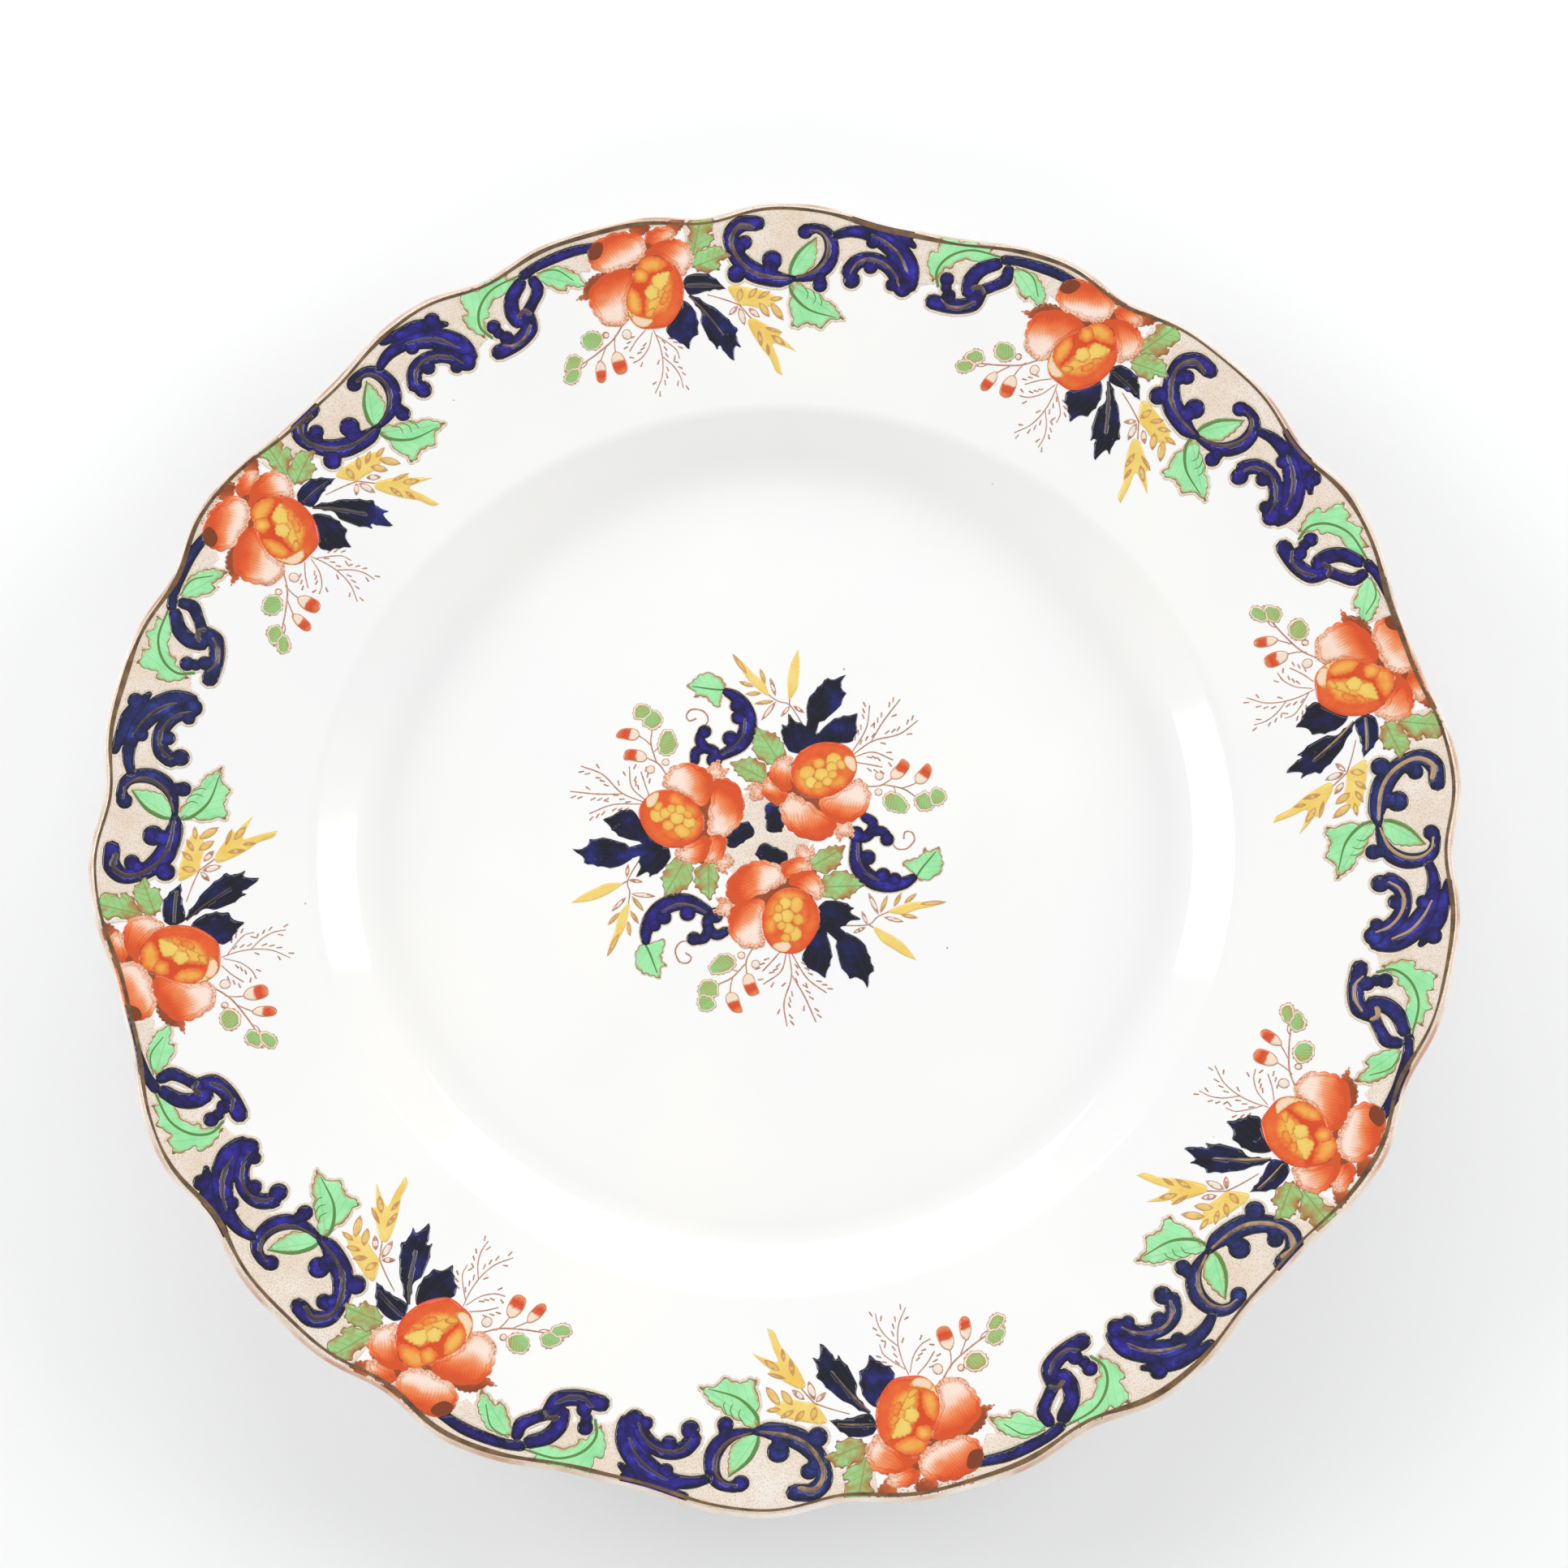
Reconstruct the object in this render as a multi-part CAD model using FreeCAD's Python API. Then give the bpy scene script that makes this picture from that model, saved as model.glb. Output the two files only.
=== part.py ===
"""China dinner plate with a scalloped edge, a border of eight rose sprays and a centre bouquet.

The plate lies face up. The origin is the centre of the plane that the foot stands on, +Z points up
through the well, and +Y points to the top of the plate as it is displayed. Units are millimetres.

The china body and its foot ring are the load-bearing pieces. Every colour of the decoration is a
layer with a real thickness on the glaze, so each motif is a thin solid of its own, cut to lie
exactly on the face below it.

Border motifs are drawn on an unrolled strip: s runs clockwise along the circle of radius
STRIP_RADIUS, and r is the distance from the plate's centre. Bouquet motifs are drawn in x and y
from the bouquet's centre. A point written (a, b, 1) is a sharp tip.
"""

import FreeCAD
import Part
import math
import os

from FreeCAD import Vector

# Driving dimensions
MEAN_RADIUS = 131.5
SCALLOP_COUNT = 6
SCALLOP_PHASE = 46.7
SCALLOP_WAVES = (0.0066, -0.0034, 0.0084, 0.0011, -0.0022, -0.0014, -0.0006, 0.0006)

FLOOR_Z = 6.4
FLOOR_EDGE_R = 79.6
SHOULDER_R = 90.4
SHOULDER_Z = 14.2
RIM_Z = 22.0
FLOOR_FILLET = 12.0
SHOULDER_FILLET = 6.0
EDGE_ROUND = 0.6

UNDERSIDE_Z = 2.4
UNDERSIDE_EDGE_R = 80.6
UNDER_SHOULDER_R = 91.6
UNDER_SHOULDER_Z = 10.6
RIM_THICKNESS = 2.7
UNDER_FILLET = 8.0

FOOT_INNER_TOP_R = 75.2
FOOT_INNER_R = 76.6
FOOT_OUTER_R = 79.2
FOOT_OUTER_TOP_R = 80.4
FOOT_ROUND = 0.6

ENAMEL = 0.15
GILT_OUTER = 1.2
GILT_INNER = 1.9
PRINT_OUTER = 0.65

STRIP_RADIUS = 120.0
REPEATS = 8
FIRST_REPEAT = -20.0
# How far each hand-laid transfer strays from an even spacing, in degrees.
REPEAT_SLIPS = (0.0, -0.5, -1.5, -1.2, -0.7, -0.4, -0.3, 0.0)

BOUQUET_CENTRE = (-2.5, 2.0)
BOUQUET_ARMS = 3

OUTLINE_STEPS = 120
STROKE_STEPS = 3
PRISM_HEIGHT = 60.0

# Border motifs, one repeat
ROSE_PETALS = [
    [(5.3, 126.0), (6.2, 128.6), (8.5, 130.0), (11.5, 130.4), (14.5, 129.6), (16.6, 127.8), (16.4, 125.2),
     (15.0, 123.6), (12.0, 122.8), (8.0, 122.9), (6.0, 124.0)],
    [(16.9, 127.0), (17.2, 129.0), (19.5, 129.6), (21.8, 129.0), (22.6, 127.6), (21.6, 126.6),
     (19.0, 126.4)],
    [(15.9, 124.6), (18.0, 126.2), (21.0, 126.7), (23.8, 126.0), (25.2, 124.2), (25.0, 121.5),
     (23.8, 119.6), (22.4, 119.0), (21.5, 121.0), (19.5, 123.4), (17.5, 124.2)],
    [(2.7, 117.0), (3.2, 119.6), (5.0, 121.6), (8.0, 122.6), (11.0, 122.8), (13.4, 121.6), (12.0, 119.0),
     (10.4, 116.5), (10.0, 113.6), (9.4, 112.1), (7.6, 111.7), (5.4, 112.0), (3.8, 113.6)],
]
ROSE_HEART = [(14.0, 121.8), (14.6, 123.4), (16.6, 124.2), (19.0, 123.4), (21.0, 121.6), (22.4, 119.2),
              (22.6, 116.2), (21.6, 113.0), (19.6, 110.6), (17.4, 109.3), (14.6, 109.4), (12.0, 110.0),
              (10.4, 111.6), (9.8, 114.0), (10.4, 117.0), (12.0, 119.6)]
ROSE_LEAVES = [
    [(24.2, 124.4), (25.6, 127.2), (25.4, 129.6), (27.4, 130.6), (29.6, 130.4, 1), (29.8, 128.2),
     (28.8, 126.8), (29.9, 126.2, 1), (28.9, 124.8), (27.2, 123.8), (25.6, 122.9)],
    [(25.2, 121.0), (26.0, 122.8), (28.4, 123.7), (30.6, 123.9), (32.6, 121.7, 1), (30.6, 121.2),
     (30.4, 119.5, 1), (27.8, 119.2), (26.2, 119.6)],
]
COBALT_LEAVES = [
    [(22.4, 117.4), (23.4, 118.6), (25.4, 119.1), (27.6, 118.8), (29.3, 117.6), (31.6, 115.1, 1),
     (28.4, 115.2), (25.0, 114.8), (23.2, 115.3)],
    [(23.6, 114.9), (25.4, 114.0), (27.6, 112.2), (29.6, 110.8), (31.6, 108.6), (33.4, 106.5, 1),
     (32.8, 105.4), (33.8, 103.0, 1), (32.4, 103.3), (31.9, 100.4, 1), (30.2, 101.6), (28.8, 103.7),
     (28.2, 103.0, 1), (27.0, 104.6), (25.8, 106.6), (25.2, 109.0), (25.4, 111.0), (24.2, 113.2)],
    [(20.2, 112.6), (22.0, 114.0), (23.6, 112.8), (24.4, 110.6), (24.6, 109.0), (24.1, 106.6, 1),
     (22.6, 105.8), (21.6, 103.9, 1), (19.8, 105.4), (17.8, 107.0, 1), (17.0, 108.6), (18.4, 110.4)],
]
YELLOW_SPRIGS = [
    [(32.0, 115.2), (33.4, 115.8), (35.4, 115.4), (38.0, 114.9, 1), (39.0, 114.0), (40.7, 114.1, 1),
     (41.5, 113.2), (43.5, 112.8, 1), (42.2, 111.9), (42.9, 110.4), (43.6, 108.3, 1), (42.1, 109.1),
     (41.2, 109.8), (40.5, 109.0, 1), (39.2, 109.9), (38.2, 110.9), (36.2, 111.4), (34.2, 111.7),
     (33.0, 113.0)],
    [(35.6, 108.3), (36.8, 108.8), (38.8, 107.9), (41.0, 106.7), (43.4, 105.7, 1), (42.8, 105.0),
     (44.2, 104.0), (46.8, 101.9, 1), (43.8, 102.9), (41.2, 103.4), (42.5, 100.4), (43.7, 97.0, 1),
     (42.0, 97.8), (40.6, 100.4), (38.8, 102.4), (37.2, 104.6), (36.1, 106.6)],
]
SCROLL_LEAVES = [
    [(45.0, 117.2), (44.9, 118.6), (45.6, 120.4), (46.8, 122.3), (48.2, 123.9), (49.8, 125.1, 1),
     (50.2, 123.4), (50.1, 121.6), (49.9, 120.0), (49.0, 118.6), (47.2, 117.5)],
    [(45.3, 116.3), (45.5, 114.6), (45.2, 112.6), (44.9, 110.8), (45.8, 108.8), (45.6, 107.0, 1),
     (47.2, 106.9), (48.6, 107.6), (50.8, 107.3), (52.6, 106.7, 1), (53.4, 108.2), (55.2, 108.9),
     (57.2, 109.0, 1), (55.6, 110.6), (54.4, 111.9), (52.6, 112.6), (51.2, 113.8), (49.8, 114.4),
     (48.4, 114.9), (46.8, 116.0)],
    [(74.4, 119.6, 1), (73.2, 121.4), (72.3, 123.6), (72.6, 125.6), (73.8, 125.8), (73.6, 127.8),
     (74.2, 130.0, 1), (75.6, 129.5), (76.8, 130.0, 1), (77.6, 128.8), (80.2, 130.4, 1), (81.6, 129.3),
     (83.8, 129.8, 1), (83.6, 128.4), (85.6, 127.6), (84.6, 126.7), (82.4, 125.8), (80.0, 125.8),
     (78.0, 124.8), (77.2, 123.2), (76.0, 122.8), (75.4, 121.2)],
    [(88.8, 126.5), (91.0, 127.4), (93.2, 127.2), (95.0, 126.0), (96.6, 124.2), (97.4, 121.2, 1),
     (95.6, 121.9), (93.9, 122.7), (93.3, 121.7, 1), (91.6, 122.8), (90.0, 124.6)],
]
# Scrolls are strokes of (s, r, half width) and round knobs of (s, r, radius).
SCROLLS = {
    "cobalt_c_scrolls": (
        [[(38.4, 128.2, 1.6), (35.4, 128.2, 1.7), (33.4, 126.4, 1.6), (33.3, 123.8, 1.5),
          (34.7, 120.9, 1.8), (37.2, 118.4, 2.1), (40.2, 117.2, 2.0), (43.0, 116.5, 1.6),
          (45.4, 116.7, 0.8)]],
        [(35.8, 124.4, 1.55), (34.9, 123.2, 1.2), (41.2, 120.5, 2.1), (40.8, 118.8, 1.7),
         (33.8, 118.1, 1.9)]),
    "cobalt_loop_scrolls": (
        [[(47.8, 126.7, 1.4), (49.8, 127.2, 1.0), (51.8, 126.4, 1.2), (52.9, 124.4, 1.4),
          (53.1, 121.8, 1.6), (52.1, 119.4, 1.6), (50.4, 117.9, 1.3), (48.2, 117.0, 0.9),
          (45.8, 116.7, 0.6)]],
        [(47.7, 126.4, 1.5), (51.3, 115.7, 1.6), (51.3, 117.0, 1.2)]),
    "cobalt_crest_scrolls": (
        [[(53.6, 126.0, 0.9), (56.4, 127.0, 1.2), (60.0, 127.0, 1.5), (63.4, 125.8, 2.0),
          (66.6, 123.8, 2.3), (69.0, 121.0, 2.2), (69.6, 118.2, 2.0)],
         [(67.8, 117.2, 1.6), (66.2, 119.8, 1.5), (63.8, 121.4, 1.5), (60.9, 121.9, 1.5),
          (58.4, 120.9, 1.6), (57.0, 118.9, 1.6)],
         [(57.1, 129.7, 0.8), (60.2, 129.2, 1.2), (63.6, 128.7, 1.4), (66.4, 127.4, 1.3),
          (69.0, 125.9, 0.6)]],
        [(57.8, 117.2, 1.8), (61.3, 120.3, 1.5), (61.0, 125.4, 1.4), (67.1, 128.0, 1.6), (68.6, 117.1, 1.9),
         (66.2, 117.3, 1.3)]),
    "cobalt_hook_scrolls": (
        [[(75.4, 115.7, 1.6), (78.4, 115.7, 1.6), (81.2, 116.2, 1.6), (83.6, 117.6, 1.7),
          (84.4, 120.0, 1.3)],
         [(81.9, 119.8, 1.6), (81.7, 122.0, 1.6), (82.9, 124.6, 1.5), (85.4, 126.6, 1.3)],
         [(84.2, 120.4, 1.2), (86.4, 122.2, 1.1), (88.1, 124.1, 1.3), (88.0, 126.2, 1.1)]],
        [(77.0, 120.8, 1.5), (77.3, 119.2, 1.2), (78.3, 117.6, 1.5)]),
    "cobalt_bars": (
        [[(86.6, 127.9, 1.0), (89.4, 128.6, 1.0), (93.4, 129.0, 1.1), (97.4, 129.1, 1.1),
          (100.6, 128.7, 0.9)]],
        []),
}
BUDS = [[(0.9, 106.2), (1.6, 104.8), (0.9, 102.4), (-0.4, 101.6), (-1.4, 102.4), (-1.0, 104.4),
         (0.0, 105.8)],
        [(4.8, 106.9), (6.2, 105.8), (6.5, 103.2), (5.4, 102.1), (3.6, 102.4), (3.1, 104.2), (3.6, 106.0)]]
BUD_LEAVES = [[(-1.9, 110.8), (-0.8, 112.2), (1.4, 112.4), (3.0, 111.2), (2.8, 109.4), (0.8, 108.4),
               (-1.2, 109.2)],
              [(-7.6, 106.2), (-6.8, 107.4), (-6.2, 108.9), (-4.6, 109.0), (-3.0, 107.8), (-3.6, 106.0),
               (-5.2, 104.2), (-7.4, 103.6), (-8.6, 104.6)]]
# Fern sprigs under each rose, and the stems of the buds and berries, as thin strokes.
FERNS = ([[(12.6, 109.6, 0.3), (10.4, 108.0, 0.4), (8.0, 106.2, 0.3)],
          [(14.2, 108.9, 0.3), (12.4, 106.0, 0.4), (8.4, 103.7, 0.3)],
          [(14.6, 109.1, 0.3), (15.1, 105.4, 0.5), (14.3, 100.4, 0.5), (11.2, 96.4, 0.3)],
          [(15.1, 109.0, 0.3), (17.4, 105.6, 0.4), (19.1, 102.4, 0.3)],
          [(15.0, 103.4, 0.3), (17.2, 100.8, 0.5), (18.7, 96.6, 0.3)]], [])
BERRY_STEMS = ([[(8.6, 112.2, 0.25), (5.2, 109.4, 0.3), (0.6, 107.6, 0.3), (-3.4, 106.6, 0.25)],
                [(6.8, 111.0, 0.2), (6.6, 108.4, 0.25), (5.0, 106.4, 0.2)]],
               [(7.5, 108.2, 1.0), (3.9, 110.6, 0.8)])
# The printed ground fills the border between the edge line and this line, behind the motifs.
GROUND = [(24.6, 134.0), (48.0, 134.0), (72.0, 134.0), (96.0, 134.0), (101.0, 134.0), (101.0, 129.0),
          (98.0, 124.0), (94.0, 126.6), (88.0, 127.0), (82.0, 121.0), (75.0, 119.4), (72.6, 118.6),
          (66.0, 122.0), (58.0, 122.0), (50.0, 118.4), (44.6, 117.0), (36.0, 119.0), (32.0, 121.0),
          (28.0, 122.6), (25.0, 124.0)]

# Bouquet motifs, one arm of three
ARM_PETALS = [
    [(-6.6, -12.6), (-6.9, -10.4), (-5.6, -7.8), (-3.0, -5.9), (0.0, -5.1), (3.0, -5.8), (4.6, -7.6),
     (4.8, -9.4), (3.0, -10.6), (0.0, -12.0), (-3.0, -13.2), (-5.0, -14.0)],
    [(-6.2, -16.0), (-6.4, -18.6), (-5.2, -21.4), (-3.2, -22.9), (0.2, -22.8), (0.8, -20.4), (0.4, -17.0),
     (0.8, -14.2), (-0.6, -12.8), (-3.0, -13.2), (-5.2, -14.2)],
    [(3.8, -6.2), (5.4, -4.8), (7.6, -4.5), (9.6, -5.6), (10.6, -7.0), (9.0, -7.6), (6.6, -8.0),
     (5.0, -9.0)],
    [(5.6, -8.4), (7.6, -7.4), (10.2, -7.5), (11.8, -9.2), (12.1, -11.6), (11.2, -13.4), (9.4, -12.0),
     (7.4, -10.8), (5.8, -10.2)],
    [(7.0, -4.8), (6.8, -2.6), (8.0, -1.8, 1), (9.4, -2.6), (10.2, -1.8, 1), (10.4, -4.0), (9.0, -5.6)],
    [(-5.4, -16.4), (-7.6, -16.4), (-9.6, -15.4, 1), (-8.4, -14.2), (-8.8, -12.6, 1), (-6.8, -12.8),
     (-5.2, -14.0)],
]
ARM_HEART = [(0.4, -15.4), (2.0, -12.4), (4.6, -10.8), (7.6, -11.0), (10.0, -12.8), (11.4, -15.6),
             (11.2, -19.0), (9.6, -22.0), (7.4, -23.9), (4.6, -24.0), (2.4, -23.0), (0.8, -20.8),
             (0.2, -18.0)]
ARM_ROSE_LEAVES = [
    [(9.6, -5.6), (10.6, -4.2), (12.2, -3.0), (14.0, -2.4), (16.4, -2.4, 1), (15.6, -4.2), (15.2, -6.0),
     (13.6, -7.1), (12.0, -7.6), (10.4, -6.8)],
    [(12.0, -9.0), (14.4, -7.7), (16.4, -7.5), (18.2, -8.7), (20.0, -10.4, 1), (18.0, -11.6),
     (17.4, -12.6, 1), (15.0, -12.9), (12.8, -12.5), (11.8, -11.0)],
]
ARM_COBALT_LEAVES = [
    [(11.4, -14.4), (12.6, -13.5), (15.0, -13.3), (16.8, -14.0), (18.2, -14.9, 1), (17.6, -15.7),
     (19.4, -17.2, 1), (17.6, -17.6), (16.2, -18.6), (14.6, -19.2), (13.0, -18.4), (11.6, -16.6)],
    [(15.0, -20.2), (16.8, -20.0), (19.0, -20.9), (20.6, -23.0), (21.5, -25.4), (22.2, -27.8, 1),
     (21.2, -28.6), (20.8, -31.2, 1), (19.4, -29.2), (17.4, -29.2, 1), (16.2, -27.6), (15.2, -25.6),
     (14.7, -22.8)],
    [(11.3, -19.4), (12.8, -20.4), (13.8, -22.8), (13.8, -25.4), (12.6, -29.0, 1), (11.2, -28.0),
     (10.0, -27.6, 1), (8.8, -26.5), (8.0, -24.6), (9.0, -22.6), (10.0, -20.8)],
]
ARM_COBALT_STALKS = ([[(11.6, -16.8, 0.9), (13.6, -18.8, 1.1), (15.6, -20.6, 1.2)],
                      [(12.2, -17.8, 0.8), (12.0, -20.2, 1.0)]], [])
ARM_COBALT_BUD = [(-1.2, -3.4), (0.4, -1.6), (2.8, -2.4), (4.7, -3.4), (5.0, -5.0), (3.4, -6.4),
                  (1.2, -5.5), (-0.4, -4.9)]
ARM_YELLOW_SPRIGS = [
    [(24.8, -15.6), (26.8, -14.6), (29.6, -13.8), (33.0, -13.7), (36.0, -13.7, 1), (33.6, -14.7),
     (30.6, -15.3), (28.0, -16.2), (26.0, -16.1)],
    [(22.0, -18.8), (24.0, -19.6), (26.4, -21.0), (28.4, -22.8), (30.4, -25.6, 1), (28.0, -24.6),
     (25.6, -23.1), (23.8, -21.9), (22.8, -20.6)],
]
ARM_SCROLL_LEAF = [(30.3, -8.9), (29.6, -7.5), (27.8, -6.2), (28.8, -5.2), (30.6, -4.8), (31.6, -4.0),
                   (32.2, -2.6, 1), (33.0, -3.6), (34.8, -2.4, 1), (35.3, -4.6), (35.6, -6.4), (34.6, -8.2),
                   (32.4, -9.3)]
ARM_SCROLL = (
    [[(18.7, -0.4, 1.0), (18.6, -3.0, 1.3), (18.9, -5.6, 1.7), (20.2, -7.9, 1.8), (22.6, -9.6, 1.8),
      (25.4, -10.2, 1.6), (28.0, -9.8, 1.3), (29.8, -8.8, 0.9)],
     [(18.5, 0.2, 1.3), (20.2, -0.4, 1.2), (21.7, 0.9, 1.1), (21.8, 2.7, 1.1), (20.4, 3.7, 1.0)],
     [(21.4, 0.6, 1.0), (23.6, 0.8, 1.1), (25.0, -0.6, 0.9)]],
    [(18.6, 0.3, 1.6), (24.7, -0.9, 1.4), (20.9, -4.6, 1.6), (23.9, -8.2, 1.5), (26.2, -9.0, 1.3)])
ARM_BUDS = [[(-2.6, -28.0), (-1.4, -28.6), (-0.7, -30.6), (-0.2, -32.0), (-2.0, -32.6), (-3.1, -31.2),
             (-3.5, -29.2)],
            [(-6.0, -31.8), (-4.6, -32.2), (-3.9, -34.0), (-3.5, -35.8), (-5.2, -35.8), (-6.4, -34.4),
             (-6.8, -32.8)]]
ARM_BUD_LEAVES = [[(-9.0, -25.0), (-7.4, -23.9), (-5.2, -24.6), (-4.9, -26.6), (-6.8, -28.0), (-9.4, -28.2),
                   (-10.2, -26.8)],
                  [(-12.1, -30.6), (-10.6, -29.2), (-8.4, -29.9), (-8.2, -32.4), (-8.6, -34.6),
                   (-10.8, -35.7), (-12.3, -34.2), (-12.0, -32.2)]]
ARM_FERNS = ([[(3.9, -23.6, 0.3), (2.2, -25.6, 0.4), (0.4, -27.6, 0.3)],
              [(5.0, -23.8, 0.3), (4.0, -27.6, 0.4), (0.6, -30.2, 0.3)],
              [(5.5, -23.8, 0.3), (6.0, -28.8, 0.5), (4.6, -34.0, 0.5), (5.2, -38.6, 0.3)],
              [(6.2, -28.6, 0.3), (8.6, -32.8, 0.5), (10.8, -37.8, 0.3)],
              [(6.0, -24.0, 0.3), (9.0, -29.0, 0.4), (12.8, -32.0, 0.3)]], [])
ARM_BERRY_STEMS = ([[(-1.4, -22.6, 0.25), (-2.8, -25.4, 0.3), (-2.7, -28.2, 0.25)],
                    [(-2.9, -26.0, 0.25), (-5.6, -28.9, 0.3), (-8.2, -30.2, 0.25)],
                    [(-5.4, -28.8, 0.2), (-5.8, -30.4, 0.25), (-5.9, -31.9, 0.2)]],
                   [(-3.8, -24.4, 0.8), (-1.0, -26.2, 0.9)])
BOUQUET_GROUND_R = 9.5

SMALLEST_PIECE = 0.3
SMALLEST_GROUND = 2.0


def unit(angle):
    """The direction at this clockwise angle from +Y, in degrees."""
    a = math.radians(angle)
    return math.sin(a), math.cos(a)


def edge_radius(x_angle):
    """Radius of the scalloped edge at an anticlockwise angle from +X, in radians."""
    turn = SCALLOP_COUNT * (x_angle - math.radians(SCALLOP_PHASE))
    return MEAN_RADIUS * (1 + sum(w * math.cos((i + 1) * turn) for i, w in enumerate(SCALLOP_WAVES)))


def rim_top(r):
    """Height of the rim's upper face, a cone, at radius r."""
    return SHOULDER_Z + (RIM_Z - SHOULDER_Z) * (r - SHOULDER_R) / (MEAN_RADIUS - SHOULDER_R)


def filleted(corners):
    """Edges through (r, z, fillet radius) corners of a half section, with tangent arcs at the corners."""
    edges, last = [], Vector(corners[0][0], 0, corners[0][1])
    for before, (r, z, radius), after in zip(corners, corners[1:], corners[2:]):
        here = Vector(r, 0, z)
        back = (Vector(before[0], 0, before[1]) - here).normalize()
        on = (Vector(after[0], 0, after[1]) - here).normalize()
        if radius:
            half = back.getAngle(on) / 2
            reach = radius / math.tan(half)
            start, end = here + back * reach, here + on * reach
            centre = here + (back + on).normalize() * (radius / math.sin(half))
            middle = centre + (here - centre).normalize() * radius
            edges.append(Part.makeLine(last, start))
            edges.append(Part.Arc(start, middle, end).toShape())
            last = end
        else:
            edges.append(Part.makeLine(last, here))
            last = here
    edges.append(Part.makeLine(last, Vector(corners[-1][0], 0, corners[-1][1])))
    return edges


def turned(corners):
    """The solid of revolution about Z of a closed section given by its corners."""
    edges = filleted(corners)
    first, last = edges[0].Vertexes[0].Point, Vector(corners[-1][0], 0, corners[-1][1])
    if first.distanceToPoint(last) > 1e-7:
        edges.append(Part.makeLine(last, first))
    wire = Part.Wire(Part.__sortEdges__(edges))
    return Part.Face(wire).revolve(Vector(0, 0, 0), Vector(0, 0, 1), 360)


def anticlockwise(points):
    """The same outline, listed so that it runs anticlockwise and its face looks up."""
    doubled_area = sum(p[0] * q[1] - q[0] * p[1] for p, q in zip(points, points[1:] + points[:1]))
    return points if doubled_area > 0 else points[::-1]


def closed_curve(points):
    """A wire through points in the plane, smooth except at the points marked sharp."""
    points = anticlockwise(points)
    sharp = [i for i, p in enumerate(points) if len(p) > 2]
    flat = [Vector(p[0], p[1], 0) for p in points]
    if not sharp:
        curve = Part.BSplineCurve()
        curve.interpolate(Points=flat, PeriodicFlag=True)
        return Part.Wire([curve.toShape()])
    edges = []
    for n, i in enumerate(sharp):
        j = sharp[(n + 1) % len(sharp)]
        count = (j - i) % len(points) or len(points)
        run = [flat[(i + k) % len(points)] for k in range(count + 1)]
        if len(run) == 2:
            edges.append(Part.makeLine(run[0], run[1]))
        else:
            curve = Part.BSplineCurve()
            curve.interpolate(Points=run)
            edges.append(curve.toShape())
    return Part.Wire(edges)


def face_of(points):
    return Part.Face(closed_curve(points))


def scallop_wire(inset):
    """The plate's outline moved inwards by inset, at z = 0."""
    points = []
    for i in range(OUTLINE_STEPS):
        a = 2 * math.pi * i / OUTLINE_STEPS
        r = edge_radius(a) - inset
        points.append((r * math.cos(a), r * math.sin(a)))
    return closed_curve(points)


def scallop_face(inset):
    return Part.Face(scallop_wire(inset))


def sector(k):
    """The slice of the plate's plane that repeat k would fill in an even spacing."""
    corners = [Vector(0, 0, 0)]
    for turn in (k, k + 1):
        x, y = unit(turn * 360.0 / REPEATS)
        corners.append(Vector(x, y, 0) * 2 * MEAN_RADIUS)
    return Part.Face(Part.makePolygon(corners + corners[:1]))


def on_border(points):
    """Strip points (s, r, ...) of the repeat that starts at the top of the plate, in x and y."""
    placed = []
    for s, r, *sharp in points:
        x, y = unit(FIRST_REPEAT + math.degrees(s / STRIP_RADIUS))
        placed.append((r * x, r * y, *sharp))
    return placed


def as_drawn(points):
    return points


def stroke_face(stroke, place):
    """A painted stroke: a band of varying half width round a smooth path, with rounded ends."""
    path = [Vector(a, b, 0) for a, b, w in stroke]
    widths = [w for a, b, w in stroke]
    curve = Part.BSplineCurve()
    curve.interpolate(Points=path)
    stops = [curve.parameter(point) for point in path]
    stations = STROKE_STEPS * (len(stroke) - 1)
    left, right = [], []
    for i in range(stations + 1):
        near = min(i // STROKE_STEPS, len(stroke) - 2)
        part = i / STROKE_STEPS - near
        width = widths[near] + (widths[near + 1] - widths[near]) * part
        at = stops[near] + (stops[near + 1] - stops[near]) * part
        point, along = curve.value(at), curve.tangent(at)[0]
        across = Vector(-along.y, along.x, 0) * width
        left.append(point + across)
        right.append(point - across)
    head = curve.value(curve.FirstParameter) - curve.tangent(curve.FirstParameter)[0] * widths[0]
    tail = curve.value(curve.LastParameter) + curve.tangent(curve.LastParameter)[0] * widths[-1]
    ring = left + [tail] + right[::-1] + [head]
    return face_of(place([(p.x, p.y) for p in ring]))


def knob_face(knob, place):
    a, b, radius = knob
    turns = [k * math.pi / 4 for k in range(8)]
    ring = [(a + radius * math.cos(t), b + radius * math.sin(t)) for t in turns]
    return face_of(place(ring))


def stroke_faces(scroll, place):
    """The flat faces of some strokes and knobs, joined where they touch."""
    strokes, knobs = scroll
    faces = [stroke_face(s, place) for s in strokes] + [knob_face(k, place) for k in knobs]
    solids = [f.extrude(Vector(0, 0, 1)) for f in faces]
    joined = solids[0].fuse(solids[1:]).removeSplitter() if len(solids) > 1 else solids[0]
    return [f for f in joined.Faces if f.BoundBox.ZMax < 1e-6]


def pieces_of(shape):
    return [f for f in shape.Faces if f.Area > SMALLEST_PIECE]


def without(faces, upper):
    """What is left of some faces behind the faces painted over them."""
    left = []
    for face in faces:
        over = [u for u in upper if u.BoundBox.intersect(face.BoundBox)]
        left += pieces_of(face.cut(over)) if over else [face]
    return left


def painted(layers):
    """Cuts each face back behind the faces listed before it."""
    upper, shown = [], {}
    for name, faces in layers:
        shown[name] = []
        for face in faces:
            shown[name] += without([face], upper)
            upper = upper + [face]
    return shown


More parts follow.
